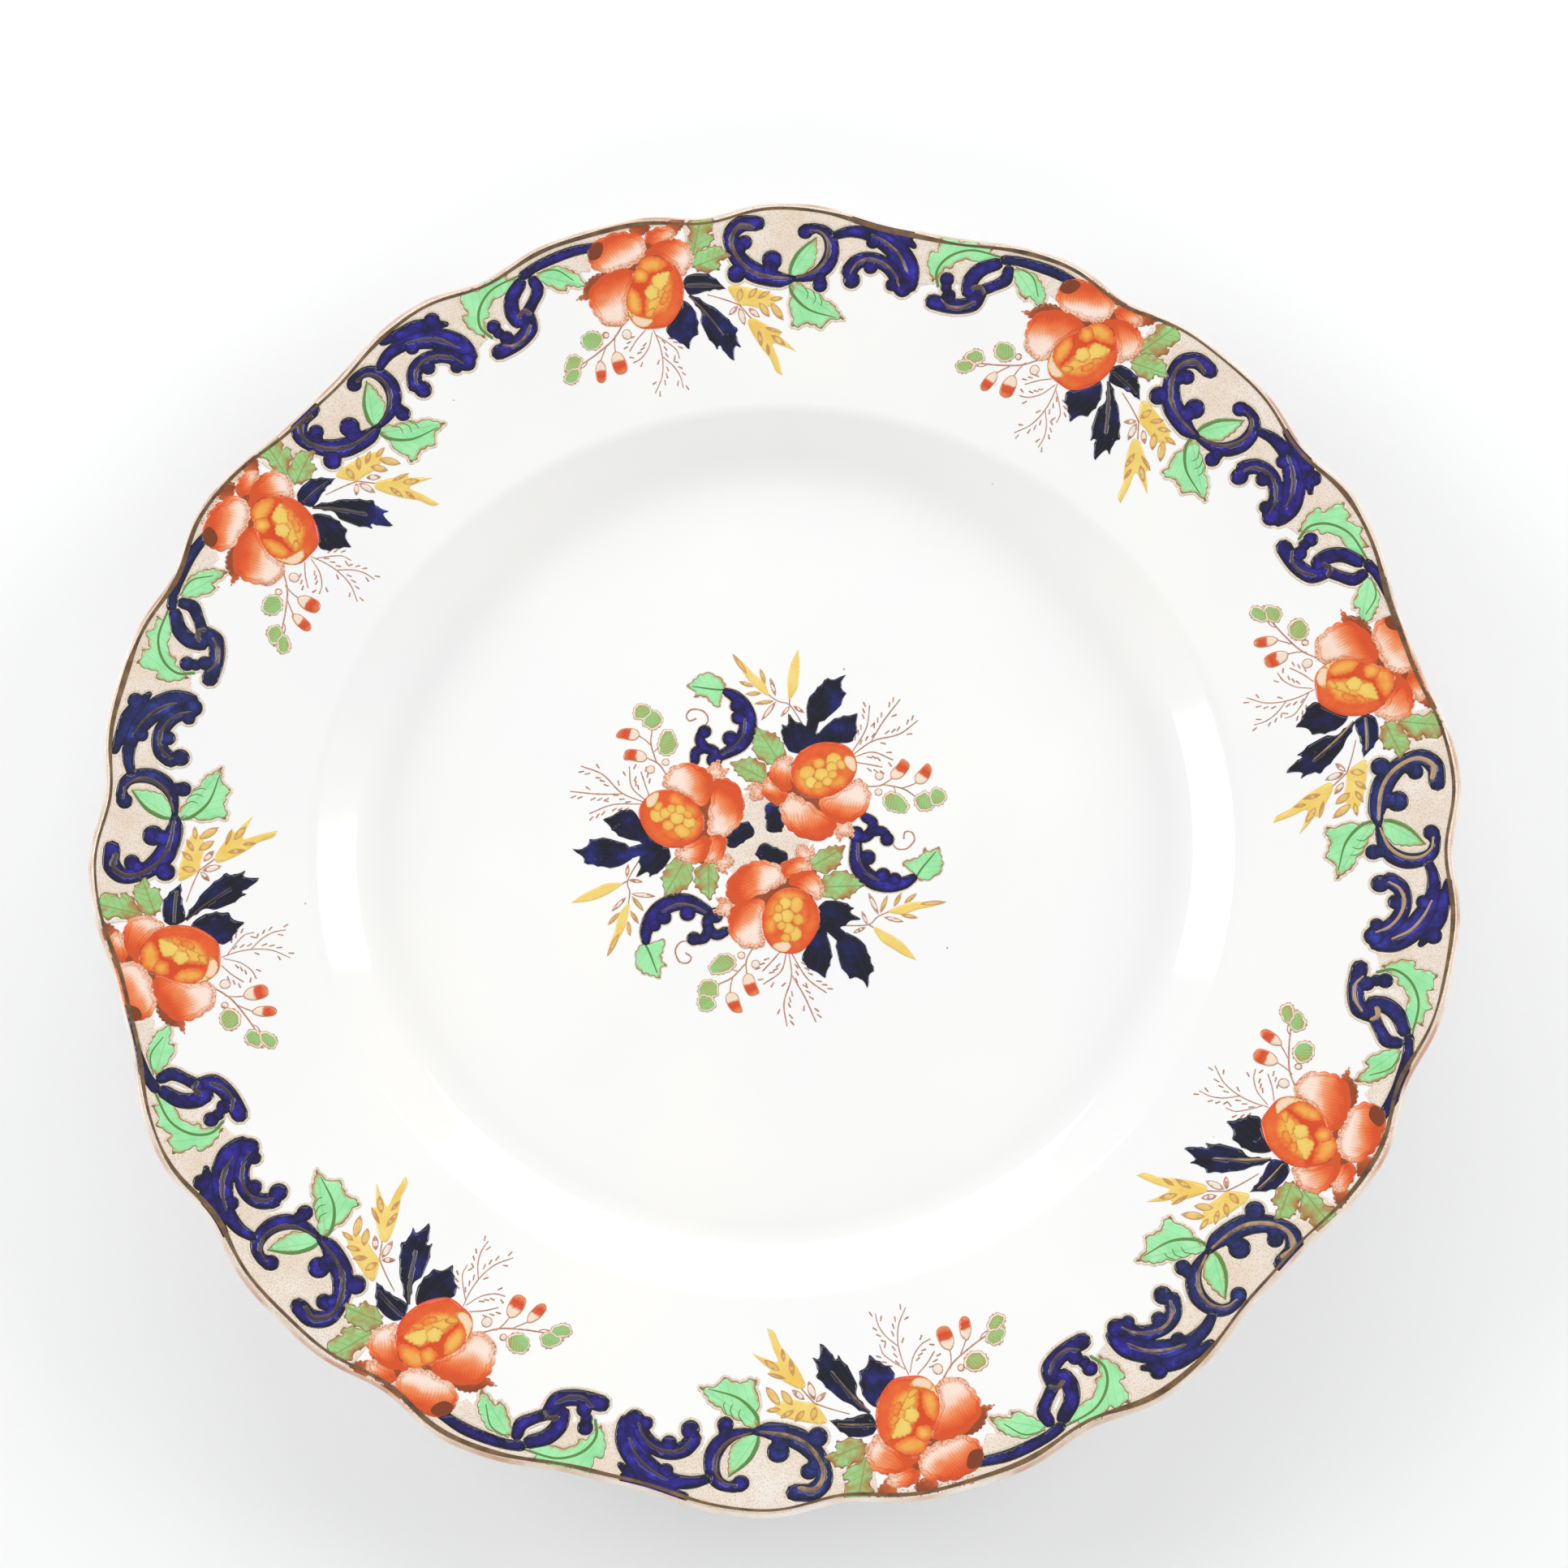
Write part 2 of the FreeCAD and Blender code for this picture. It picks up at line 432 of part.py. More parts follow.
def border_layers():
    """The faces of one repeat of the border, from the front layer to the back one."""
    layers = [
        ("rose_hearts", [face_of(on_border(ROSE_HEART))]),
        ("rose_petals", [face_of(on_border(p)) for p in ROSE_PETALS]),
        ("cobalt_leaves", [face_of(on_border(p)) for p in COBALT_LEAVES]),
        ("yellow_sprigs", [face_of(on_border(p)) for p in YELLOW_SPRIGS]),
        ("rose_buds", [face_of(on_border(p)) for p in BUDS]),
        ("bud_leaves", [face_of(on_border(p)) for p in BUD_LEAVES]),
        ("rose_leaves", [face_of(on_border(p)) for p in ROSE_LEAVES]),
    ]
    layers += [(name, stroke_faces(scroll, on_border)) for name, scroll in SCROLLS.items()]
    layers.append(("scroll_leaves", [face_of(on_border(p)) for p in SCROLL_LEAVES]))
    layers.append(("berry_stems", stroke_faces(BERRY_STEMS, on_border)))
    layers.append(("fern_sprays", stroke_faces(FERNS, on_border)))
    return painted(layers)


def bouquet_layers():
    """The faces of one arm of the bouquet, from the front layer to the back one."""
    return painted([
        ("centre_rose_hearts", [face_of(ARM_HEART)]),
        ("centre_rose_petals", [face_of(p) for p in ARM_PETALS]),
        ("centre_cobalt_leaves", [face_of(p) for p in ARM_COBALT_LEAVES]
         + stroke_faces(ARM_COBALT_STALKS, as_drawn)),
        ("centre_cobalt_buds", [face_of(ARM_COBALT_BUD)]),
        ("centre_rose_leaves", [face_of(p) for p in ARM_ROSE_LEAVES]),
        ("centre_yellow_sprigs", [face_of(p) for p in ARM_YELLOW_SPRIGS]),
        ("centre_cobalt_scrolls", stroke_faces(ARM_SCROLL, as_drawn)),
        ("centre_scroll_leaves", [face_of(ARM_SCROLL_LEAF)]),
        ("centre_rose_buds", [face_of(p) for p in ARM_BUDS]),
        ("centre_bud_leaves", [face_of(p) for p in ARM_BUD_LEAVES]),
        ("centre_berry_stems", stroke_faces(ARM_BERRY_STEMS, as_drawn)),
        ("centre_fern_sprays", stroke_faces(ARM_FERNS, as_drawn)),
    ])


def rotated(shape, angle, centre=(0, 0)):
    copy = shape.copy()
    copy.rotate(Vector(centre[0], centre[1], 0), Vector(0, 0, 1), angle)
    return copy


def slip(k):
    """How far repeat k is turned from the first one, anticlockwise in degrees."""
    return -(k * 360.0 / REPEATS + REPEAT_SLIPS[k])


def china_body():
    """Well, shoulder and rim in one fired piece, with a rounded scalloped edge."""
    past = MEAN_RADIUS + 8
    under_rim = (RIM_Z - RIM_THICKNESS - UNDER_SHOULDER_Z) / (MEAN_RADIUS - UNDER_SHOULDER_R)
    section = [
        (0, UNDERSIDE_Z, 0),
        (UNDERSIDE_EDGE_R, UNDERSIDE_Z, 0),
        (UNDER_SHOULDER_R, UNDER_SHOULDER_Z, UNDER_FILLET),
        (past, UNDER_SHOULDER_Z + under_rim * (past - UNDER_SHOULDER_R), 0),
        (past, rim_top(past), 0),
        (SHOULDER_R, SHOULDER_Z, SHOULDER_FILLET),
        (FLOOR_EDGE_R, FLOOR_Z, FLOOR_FILLET),
        (0, FLOOR_Z, 0),
    ]
    body = turned(section).common(scallop_face(0).extrude(Vector(0, 0, PRISM_HEIGHT)))
    rims = [e for e in body.Edges if e.BoundBox.XLength > 2 * (MEAN_RADIUS - 5)]
    return body.makeFillet(EDGE_ROUND, rims)


def foot_ring():
    """The low ring that the plate stands on, joined face to face under the well."""
    return turned([
        (FOOT_INNER_TOP_R, UNDERSIDE_Z, 0),
        (FOOT_INNER_R, 0, FOOT_ROUND),
        (FOOT_OUTER_R, 0, FOOT_ROUND),
        (FOOT_OUTER_TOP_R, UNDERSIDE_Z, 0),
    ])


def enamel_shell():
    """The space that a layer of enamel can fill on the rim's upper face."""
    inner, outer = SHOULDER_R + 3, MEAN_RADIUS + 6
    return turned([
        (inner, rim_top(inner), 0),
        (outer, rim_top(outer), 0),
        (outer, rim_top(outer) + ENAMEL, 0),
        (inner, rim_top(inner) + ENAMEL, 0),
    ])


def laid_on_rim(faces, shell):
    """Thin solids of the faces' outlines, lying on the rim."""
    solids = []
    for face in faces:
        solids += face.extrude(Vector(0, 0, PRISM_HEIGHT)).common(shell).Solids
    return solids


def line_along_edge(outer, inner, shell):
    """One closed line between two insets from the edge, joined from a stroke for each repeat."""
    band = Part.makeFace([scallop_wire(outer), scallop_wire(inner)], "Part::FaceMakerBullseye")
    strokes = laid_on_rim([band.common(sector(k)) for k in range(REPEATS)], shell)
    return strokes[0].fuse(strokes[1:]).Solids


def laid_on_floor(faces):
    solids = []
    for face in faces:
        placed = face.copy()
        placed.translate(Vector(BOUQUET_CENTRE[0], BOUQUET_CENTRE[1], FLOOR_Z))
        solids.append(placed.extrude(Vector(0, 0, ENAMEL)))
    return solids


def border_nodes():
    """Every node of the border: the motifs, the printed ground and the lines along the edge."""
    shell = enamel_shell()
    inside_line = scallop_face(GILT_INNER)
    one_repeat = border_layers()
    ground = face_of(on_border([(s, r, 1) for s, r in GROUND]))
    nodes = {name: [] for name in one_repeat}
    nodes["printed_ground"] = []
    for k in range(REPEATS):
        here = {n: [rotated(f, slip(k)) for f in faces] for n, faces in one_repeat.items()}
        next_rose = [rotated(f, slip((k + 1) % REPEATS)) for f in one_repeat["rose_petals"]]
        here["cobalt_bars"] = without(here["cobalt_bars"], next_rose)
        for name, faces in here.items():
            kept = [p for f in faces for p in pieces_of(f.common(inside_line))]
            nodes[name] += laid_on_rim(kept, shell)
        motifs = [f for faces in here.values() for f in faces] + next_rose
        panel = pieces_of(rotated(ground, slip(k)).common(inside_line))
        patches = [f for f in without(panel, motifs) if f.Area > SMALLEST_GROUND]
        nodes["printed_ground"] += laid_on_rim(patches, shell)
    nodes["gilt_edge_line"] = line_along_edge(GILT_OUTER, GILT_INNER, shell)
    nodes["edge_print_band"] = line_along_edge(PRINT_OUTER, GILT_OUTER, shell)
    return nodes


def bouquet_nodes():
    """Every node of the centre bouquet, three arms round one centre."""
    nodes, all_faces = {}, []
    turns = [n * 360.0 / BOUQUET_ARMS for n in range(BOUQUET_ARMS)]
    for name, faces in bouquet_layers().items():
        placed = without([rotated(f, t) for t in turns for f in faces], all_faces)
        all_faces += placed
        nodes[name] = laid_on_floor(placed)
    disc = Part.Face(Part.Wire([Part.makeCircle(BOUQUET_GROUND_R)]))
    nodes["centre_ground"] = laid_on_floor(without([disc], all_faces))
    return nodes


def write(name, solids):
    solids = [s for s in solids if s.Volume > 1e-3]
    shape = solids[0] if len(solids) == 1 else Part.makeCompound(solids)
    shape.exportStep("parts/" + name + ".step")
    print(name, len(solids), "solids", round(sum(s.Volume for s in solids), 2), "mm3", shape.isValid())


os.makedirs("parts", exist_ok=True)
write("china_body", china_body().Solids)
write("foot_ring", foot_ring().Solids)
for node, members in {**border_nodes(), **bouquet_nodes()}.items():
    write(node, members)
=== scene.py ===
"""The looks of a china dinner plate with a scalloped gilt edge, a border of eight rose sprays and a bouquet.

Sizes are in millimetres until a mesh is written. Border shapes are drawn on an unrolled strip as
(s, r): s runs clockwise along the circle of radius STRIP_RADIUS, r is the distance from the plate's
centre. Bouquet shapes are drawn in x and y from the bouquet's centre. A point (a, b, 1) is a sharp tip.
Every colour is a thin closed pad that lies on the glaze, cut exactly where its neighbours begin.
"""

import bpy
import math
import numpy as np
from mathutils import Matrix, Vector
from mathutils.geometry import delaunay_2d_cdt


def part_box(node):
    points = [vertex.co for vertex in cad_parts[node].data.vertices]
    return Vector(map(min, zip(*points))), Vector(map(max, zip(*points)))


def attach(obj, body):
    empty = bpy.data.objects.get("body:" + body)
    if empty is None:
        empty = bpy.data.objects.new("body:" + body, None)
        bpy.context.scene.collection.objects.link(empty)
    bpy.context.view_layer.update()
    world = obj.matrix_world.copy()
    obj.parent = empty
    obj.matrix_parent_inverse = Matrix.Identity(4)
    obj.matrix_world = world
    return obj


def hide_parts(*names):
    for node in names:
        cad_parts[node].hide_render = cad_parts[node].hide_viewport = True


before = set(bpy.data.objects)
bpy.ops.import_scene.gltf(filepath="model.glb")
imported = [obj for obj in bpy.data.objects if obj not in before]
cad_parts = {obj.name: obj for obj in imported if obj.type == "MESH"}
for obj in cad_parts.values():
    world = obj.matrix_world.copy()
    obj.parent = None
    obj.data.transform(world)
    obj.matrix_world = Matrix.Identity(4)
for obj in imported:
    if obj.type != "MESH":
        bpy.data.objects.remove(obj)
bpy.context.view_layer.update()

MM = 0.001
foot_low, foot_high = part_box("foot_ring")
BASE = Vector(((foot_low.x + foot_high.x) / 2, (foot_low.y + foot_high.y) / 2, foot_low.z))

# Body
MEAN_RADIUS = 131.5
SCALLOPS = 6
SCALLOP_PHASE = 46.7
SCALLOP_WAVES = (0.0066, -0.0034, 0.0084, 0.0011, -0.0022, -0.0014, -0.0006, 0.0006)
FLOOR_Z = 6.4
FLOOR_EDGE_R = 79.6
SHOULDER_R = 90.4
SHOULDER_Z = 14.2
RIM_Z = 22.0
FLOOR_FILLET = 12.0
SHOULDER_FILLET = 6.0
# Reach of the rounding of the edge, and its height as a share of that.
EDGE_ROUND = 0.65
EDGE_FLATNESS = 0.9
# Width of the gilt line at distances along one border repeat.
GILT_WIDTHS = ((0, 0.85), (20, 0.7), (28, 0.5), (52, 0.55), (57, 0.85), (73, 0.85), (77, 0.5), (85, 0.65),
               (90, 0.95), (94.3, 0.85))
UNDERSIDE_Z = 2.4
UNDERSIDE_EDGE_R = 80.6
UNDER_SHOULDER_R = 91.6
UNDER_SHOULDER_Z = 10.6
RIM_THICKNESS = 2.7
UNDER_FILLET = 8.0
# Section of the foot ring as (r, z), from inside to outside.
FOOT = ((75.2, 2.45), (76.2, 0.5), (76.9, 0.02), (77.4, 0.0), (78.4, 0.0), (78.9, 0.02), (79.5, 0.5),
        (80.4, 2.45))
# Points along each ring of the body.
AROUND = 720

# Decoration
STRIP_RADIUS = 120.0
REPEATS = 8
FIRST_REPEAT = -20.0
REPEAT_SLIPS = (0.0, -0.5, -1.5, -1.2, -0.7, -0.4, -0.3, 0.0)
BOUQUET_CENTRE = (-2.5, 2.0)
ARMS = 3
# How far every pad reaches into the glaze, and how near to the edge the border may come.
SINK = 0.03
PRINT_LIMIT = 0.72
# Degrees before and after the start of a repeat that its mask along the edge covers.
MASK_REACH = (12, 58)
# Distance between the points inside the painted shapes, and from row to row as a share of it.
BORDER_SPACING = 0.7
BOUQUET_SPACING = 0.5
ROW_SHARE = 0.866
# Outer and inner inset from the scalloped edge, and height over the glaze.
EDGE_PRINT = (0.68, 2.4, 0.02)
GILT_LINE = (1.05, 1.75, 0.1)
# How far the gilt line wanders off its middle, and how much its width changes by hand.
GILT_WANDER = 0.3
GILT_SWELL = 0.35
# Depth and pitch of the small lobes along each kind of outline, and the step along them.
RUFFLES = {"scroll_leaves": (0.3, 1.9), "bud_leaves": (0.28, 1.3), "rose_leaves": (0.45, 1.8, True),
           "cobalt_leaves": (0.26, 3.0, True), "sepals": (0.35, 1.2), "petals": (0.34, 3.0)}
RUFFLE_STEP = 0.22
LOBE_PITCH = 1.3
ROSE_LEAF_GROWTH = 0.3
SPINE_WIDENING = 1.45
SEPAL_TONE = 0.86


def placed(name, data):
    """A new object in the scene."""
    piece = bpy.data.objects.new(name, data)
    bpy.context.scene.collection.objects.link(piece)
    return piece


# ---------------------------------------------------------------- curves

def rounded(corners, steps=9):
    """A half section through (r, z, fillet radius) corners, with the fillets as short chords."""
    path = [corners[0][:2]]
    for before, (r, z, radius), after in zip(corners, corners[1:], corners[2:]):
        here = np.array((r, z))
        back = np.array(before[:2]) - here
        on = np.array(after[:2]) - here
        back, on = back / np.linalg.norm(back), on / np.linalg.norm(on)
        half = math.acos(float(np.clip(back @ on, -1, 1))) / 2
        centre = here + (back + on) / np.linalg.norm(back + on) * radius / math.sin(half)
        start = here + back * radius / math.tan(half) - centre
        end = here + on * radius / math.tan(half) - centre
        for t in np.linspace(0, 1, steps):
            arm = start * (1 - t) + end * t
            path.append(tuple(centre + arm / np.linalg.norm(arm) * radius))
    path.append(corners[-1][:2])
    return np.array(path)


def rim_top(r):
    return SHOULDER_Z + (RIM_Z - SHOULDER_Z) * (r - SHOULDER_R) / (MEAN_RADIUS - SHOULDER_R)


def rim_under(r):
    drop = RIM_Z - RIM_THICKNESS - UNDER_SHOULDER_Z
    return UNDER_SHOULDER_Z + drop * (r - UNDER_SHOULDER_R) / (MEAN_RADIUS - UNDER_SHOULDER_R)


# A radius that is past the edge everywhere.
PAST = MEAN_RADIUS + 8
TOP = rounded([(0, FLOOR_Z, 0), (FLOOR_EDGE_R, FLOOR_Z, FLOOR_FILLET),
               (SHOULDER_R, SHOULDER_Z, SHOULDER_FILLET), (PAST, rim_top(PAST), 0)])
UNDER = rounded([(0, UNDERSIDE_Z, 0), (UNDERSIDE_EDGE_R, UNDERSIDE_Z, 0.01),
                 (UNDER_SHOULDER_R, UNDER_SHOULDER_Z, UNDER_FILLET), (PAST, rim_under(PAST), 0)])


def surface(r):
    """Height of the plate's upper face at radius r."""
    return np.interp(r, TOP[:, 0], TOP[:, 1])


def edge_radius(angle):
    """Radius of the scalloped edge at anticlockwise angles from +X, in radians."""
    turn = SCALLOPS * (angle - math.radians(SCALLOP_PHASE))
    return MEAN_RADIUS * (1 + sum(w * np.cos((i + 1) * turn) for i, w in enumerate(SCALLOP_WAVES)))


def anticlockwise(loop):
    x, y = loop[:, 0], loop[:, 1]
    return loop if np.sum(x * np.roll(y, -1) - np.roll(x, -1) * y) > 0 else loop[::-1]


def spline(points, step, closed):
    """Points along a Catmull-Rom curve through some points, broken at the ones marked sharp."""
    flat = np.array([p[:2] for p in points], float)
    sharp = [len(p) > 2 for p in points]
    n = len(flat)
    out = []
    for i in range(n if closed else n - 1):
        j = (i + 1) % n
        a, b = flat[i], flat[j]
        before = a - (b - a) if sharp[i] or (not closed and i == 0) else flat[i - 1]
        after = b + (b - a) if sharp[j] or (not closed and j == n - 1) else flat[(i + 2) % n]
        count = max(2, int(np.linalg.norm(b - a) / step) + 1)
        for t in np.arange(count) / count:
            out.append(0.5 * (2 * a + (b - before) * t + (2 * before - 5 * a + 4 * b - after) * t ** 2
                              + (3 * a - before - 3 * b + after) * t ** 3))
    if not closed:
        out.append(flat[-1])
    return np.array(out)


def outline(points, step=0.5):
    return anticlockwise(spline(points, step, True))


def blob(a, b, ra, rb, tilt=0.0, count=18):
    """A round or oval outline; tilt is in degrees."""
    t = np.arange(count) * 2 * math.pi / count
    c, s = math.cos(math.radians(tilt)), math.sin(math.radians(tilt))
    x, y = ra * np.cos(t), rb * np.sin(t)
    return np.stack((a + c * x - s * y, b + s * x + c * y), 1)


def stroke(points, step=0.5):
    """The outline of a painted stroke through (a, b, half width) points, with rounded ends."""
    path = spline([p[:2] for p in points], step, False)
    marks = np.array([np.argmin(np.linalg.norm(path - np.array(p[:2]), axis=1)) for p in points])
    width = np.interp(np.arange(len(path)), marks, [p[2] for p in points])[:, None]
    along = np.gradient(path, axis=0)
    along /= np.linalg.norm(along, axis=1)[:, None]
    across = np.stack((-along[:, 1], along[:, 0]), 1)
    left, right = path + across * width, path - across * width
    caps = []
    for at, way, side, w in ((-1, 1, 1, width[-1]), (0, -1, -1, width[0])):
        caps.append([path[at] + way * along[at] * w * math.sin(t) + side * across[at] * w * math.cos(t)
                     for t in (math.pi / 4, math.pi / 2, 3 * math.pi / 4)])
    return anticlockwise(np.vstack((left, caps[0], right[::-1], caps[1])))


def ruffled(loop, depth, pitch, pointed=False):
    """The outline with small lobes along it, rounded or pointed."""
    closed = np.vstack((loop, loop[:1]))
    run = np.concatenate(([0], np.cumsum(np.linalg.norm(np.diff(closed, axis=0), axis=1))))
    t = np.linspace(0, 1, max(24, int(run[-1] / RUFFLE_STEP)), endpoint=False)
    fine = np.stack([np.interp(t * run[-1], run, closed[:, i]) for i in (0, 1)], 1)
    lobes = max(3, round(run[-1] / pitch))
    swell = np.abs(np.sin(math.pi * lobes * t + 0.9 * np.sin(6 * math.pi * t)))
    return grown(fine, (depth * (0.5 - swell if pointed else swell - 0.5))[:, None])


def grown(loop, by):
    """The outline moved outwards by a distance."""
    along = np.roll(loop, -1, 0) - np.roll(loop, 1, 0)
    along /= np.maximum(np.linalg.norm(along, axis=1)[:, None], 1e-6)
    return loop + np.stack((along[:, 1], -along[:, 0]), 1) * by


def gap_to_loop(points, loop):
    """Distance of each point from a closed outline."""
    a, b = loop, np.roll(loop, -1, 0)
    ab = b - a
    length = np.maximum((ab ** 2).sum(1), 1e-12)
    best = np.full(len(points), 1e9)
    for start in range(0, len(points), 4000):
        p = points[start:start + 4000, None, :]
        t = np.clip(((p - a) * ab).sum(2) / length, 0, 1)
        best[start:start + 4000] = np.sqrt((((p - a) - t[..., None] * ab) ** 2).sum(2)).min(1)
    return best


def inside(points, loop):
    """Whether each point lies inside a closed outline."""
    x, y = points[:, 0, None], points[:, 1, None]
    x0, y0 = loop[:, 0], loop[:, 1]
    x1, y1 = np.roll(x0, -1), np.roll(y0, -1)
    spans = (y0 > y) != (y1 > y)
    with np.errstate(divide="ignore", invalid="ignore"):
        cross = x < (x1 - x0) * (y - y0) / (y1 - y0) + x0
    return (spans & cross).sum(1) % 2 == 1


# ---------------------------------------------------------------- painted shapes

class Shape:
    """One flat painted shape: which piece it belongs to, its outline, its tone and its growth axis."""

    def __init__(self, piece, loop, tone=0.0, axis=None):
        self.piece = piece
        self.loop = loop
        self.tone = tone
        self.axis = axis


def arranged(shapes, spacing):
    """Cuts the shapes into triangles that belong to the front shape. Later shapes are in front."""
    points, faces = [], []
    for shape in shapes:
        faces.append(list(range(len(points), len(points) + len(shape.loop))))
        points += [tuple(p) for p in shape.loop]
    every = np.array(points)
    low, high = every.min(0), every.max(0)
    rows = int((high[1] - low[1]) / (spacing * ROW_SHARE)) + 1
    columns = int((high[0] - low[0]) / spacing) + 1
    grid = np.array([(low[0] + (c + 0.5 * (r % 2)) * spacing, low[1] + r * spacing * ROW_SHARE)
                     for r in range(rows) for c in range(columns)])
    wanted, clear = np.zeros(len(grid), bool), np.ones(len(grid), bool)
    for shape in shapes:
        a, b = shape.loop.min(0) - spacing, shape.loop.max(0) + spacing
        near = np.where(((grid >= a) & (grid <= b)).all(1))[0]
        if not len(near):
            continue
        wanted[near] |= inside(grid[near], shape.loop)
        clear[near] &= gap_to_loop(grid[near], shape.loop) > 0.4 * spacing
    points += [tuple(p) for p in grid[wanted & clear]]
    made = delaunay_2d_cdt([Vector(p) for p in points], [], faces, 0, 1e-5)
    flat, triangles = np.array([tuple(v) for v in made[0]]), np.array(made[2])
    centres = flat[triangles].mean(1)
    owners = np.full(len(triangles), -1)
    for index, shape in enumerate(shapes):
        near = ((centres > shape.loop.min(0)) & (centres < shape.loop.max(0))).all(1)
        near[near] = inside(centres[near], shape.loop)
        owners[near] = index
    return flat, triangles[owners >= 0], owners[owners >= 0]


def shared_edge(piece, shapes):
    """Points along the outline of everything that one piece covers."""
    loops = [shape.loop for shape in shapes if shape.piece == piece]
    points = []
    for loop in loops:
        after = np.roll(loop, -1, 0)
        line = np.concatenate([loop + (after - loop) * t for t in (0, 0.25, 0.5, 0.75)])
        for other in loops:
            near = (line > other.min(0)).all(1) & (line < other.max(0)).all(1)
            if other is not loop and near.any():
                near[near] = inside(line[near], other)
                line = line[~near]
        points.append(line)
    return np.concatenate(points)


def gap_to_points(spots, points):
    best = np.full(len(spots), 1e9)
    for start in range(0, len(spots), 1000):
        p = spots[start:start + 1000, None, :]
        best[start:start + 1000] = np.sqrt(((p - points) ** 2).sum(2).min(1))
    return best


def corner_values(shapes, flat, triangles, owners):
    """What the paint needs at each corner: distance from the shape's edge and from its piece's edge, place
    along and across the shape, and tone."""
    values = {key: np.zeros((len(triangles), 3)) for key in ("edge", "skirt", "reach", "across", "tone")}
    skirts = {}
    for index, shape in enumerate(shapes):
        mine = np.where(owners == index)[0]
        if not len(mine):
            continue
        used, back = np.unique(triangles[mine], return_inverse=True)
        back = back.reshape(-1, 3)
        spots = flat[used]
        values["edge"][mine] = gap_to_loop(spots, shape.loop)[back]
        if "scrolls" in shape.piece or shape.piece == "cobalt_bars":
            if shape.piece not in skirts:
                skirts[shape.piece] = shared_edge(shape.piece, shapes)
            values["skirt"][mine] = gap_to_points(spots, skirts[shape.piece])[back]
        if shape.axis is not None:
            root, tip = (np.array(p, float) for p in shape.axis)
            along = (tip - root) / np.linalg.norm(tip - root)
            reach = (spots - root) @ along / np.linalg.norm(tip - root)
            across = (spots - root) @ np.array((-along[1], along[0]))
            values["reach"][mine] = reach[back]
            values["across"][mine] = across[back]
        values["tone"][mine] = shape.tone
    return values


def pads(name, lift, parts):
    """A mesh of thin closed pads on the plate.

    Each part is (points, triangles, corner values, turn, centre)."""
    all_points, all_corners, sizes, smooth = [], [], [], []
    loops = {}
    start = 0
    for flat, triangles, values, turn, centre in parts:
        used, tris = np.unique(triangles, return_inverse=True)
        tris = tris.reshape(-1, 3)
        flat = flat[used]
        flip = np.cross(flat[tris[:, 1]] - flat[tris[:, 0]], flat[tris[:, 2]] - flat[tris[:, 0]]) < 0
        tris[flip] = tris[flip][:, ::-1]
        sides = np.concatenate((tris[:, [0, 1]], tris[:, [1, 2]], tris[:, [2, 0]]))
        rows = np.tile(np.arange(len(tris)), 3)
        there = set(map(tuple, sides))
        rim = np.array([i for i, (a, b) in enumerate(map(tuple, sides)) if (b, a) not in there])
        c, s = math.cos(math.radians(turn)), math.sin(math.radians(turn))
        x = centre[0] + flat[:, 0] * c - flat[:, 1] * s
        y = centre[1] + flat[:, 0] * s + flat[:, 1] * c
        z = surface(np.hypot(x, y))
        count, wall = len(flat), sides[rim]
        all_points += [np.stack((x, y, z + lift), 1), np.stack((x, y, z - SINK), 1)]
        walls = np.stack((wall[:, 1], wall[:, 0], wall[:, 0] + count, wall[:, 1] + count), 1)
        all_corners += [(start + tris).ravel(), (start + count + tris[:, ::-1]).ravel(),
                        (start + walls).ravel()]
        sizes += [3] * (2 * len(tris)) + [4] * len(rim)
        smooth += [True] * len(tris) + [False] * (len(tris) + len(rim))
        for key, value in values.items():
            value = value.copy()
            value[flip] = value[flip][:, ::-1]
            loops.setdefault(key, []).extend(
                (value.ravel(), value[:, ::-1].ravel(), value[rows[rim]].mean(1).repeat(4)))
        start += 2 * count
    points = np.concatenate(all_points) * MM + np.array(BASE)
    corner_list = np.concatenate(all_corners)
    mesh = bpy.data.meshes.new(name)
    mesh.vertices.add(len(points))
    mesh.vertices.foreach_set("co", points.astype(np.float32).ravel())
    mesh.loops.add(len(corner_list))
    mesh.loops.foreach_set("vertex_index", corner_list.astype(np.int32))
    mesh.polygons.add(len(sizes))
    mesh.polygons.foreach_set("loop_start", np.concatenate(([0], np.cumsum(sizes)[:-1])).astype(np.int32))
    mesh.polygons.foreach_set("use_smooth", smooth)
    mesh.update(calc_edges=True)
    for key, values in loops.items():
        layer = mesh.attributes.new(key, "FLOAT", "CORNER")
        layer.data.foreach_set("value", np.concatenate(values).astype(np.float32))
    mesh.validate()
    return placed(name, mesh)


def ring_mesh(name, rings, smooth=True):
    """A closed mesh through rings of points. A ring of one point closes an end."""
    points, faces, starts = [], [], []
    for ring in rings:
        starts.append(len(points))
        points += [tuple(p) for p in ring]
    pairs = list(zip(starts, rings))
    joined = list(zip(pairs, pairs[1:]))
    if len(rings[0]) > 1:
        joined.append((pairs[-1], pairs[0]))
    for (a, first), (b, second) in joined:
        n = max(len(first), len(second))
        for i in range(n):
            j = (i + 1) % n
            if len(first) == 1:
                faces.append((a, b + i, b + j))
            elif len(second) == 1:
                faces.append((a + i, b, a + j))
            else:
                faces.append((a + i, b + i, b + j, a + j))
    mesh = bpy.data.meshes.new(name)
    mesh.from_pydata([Vector(p) * MM + BASE for p in points], [], faces)
    mesh.polygons.foreach_set("use_smooth", [smooth] * len(mesh.polygons))
    mesh.update()
    return placed(name, mesh)


# ---------------------------------------------------------------- paint

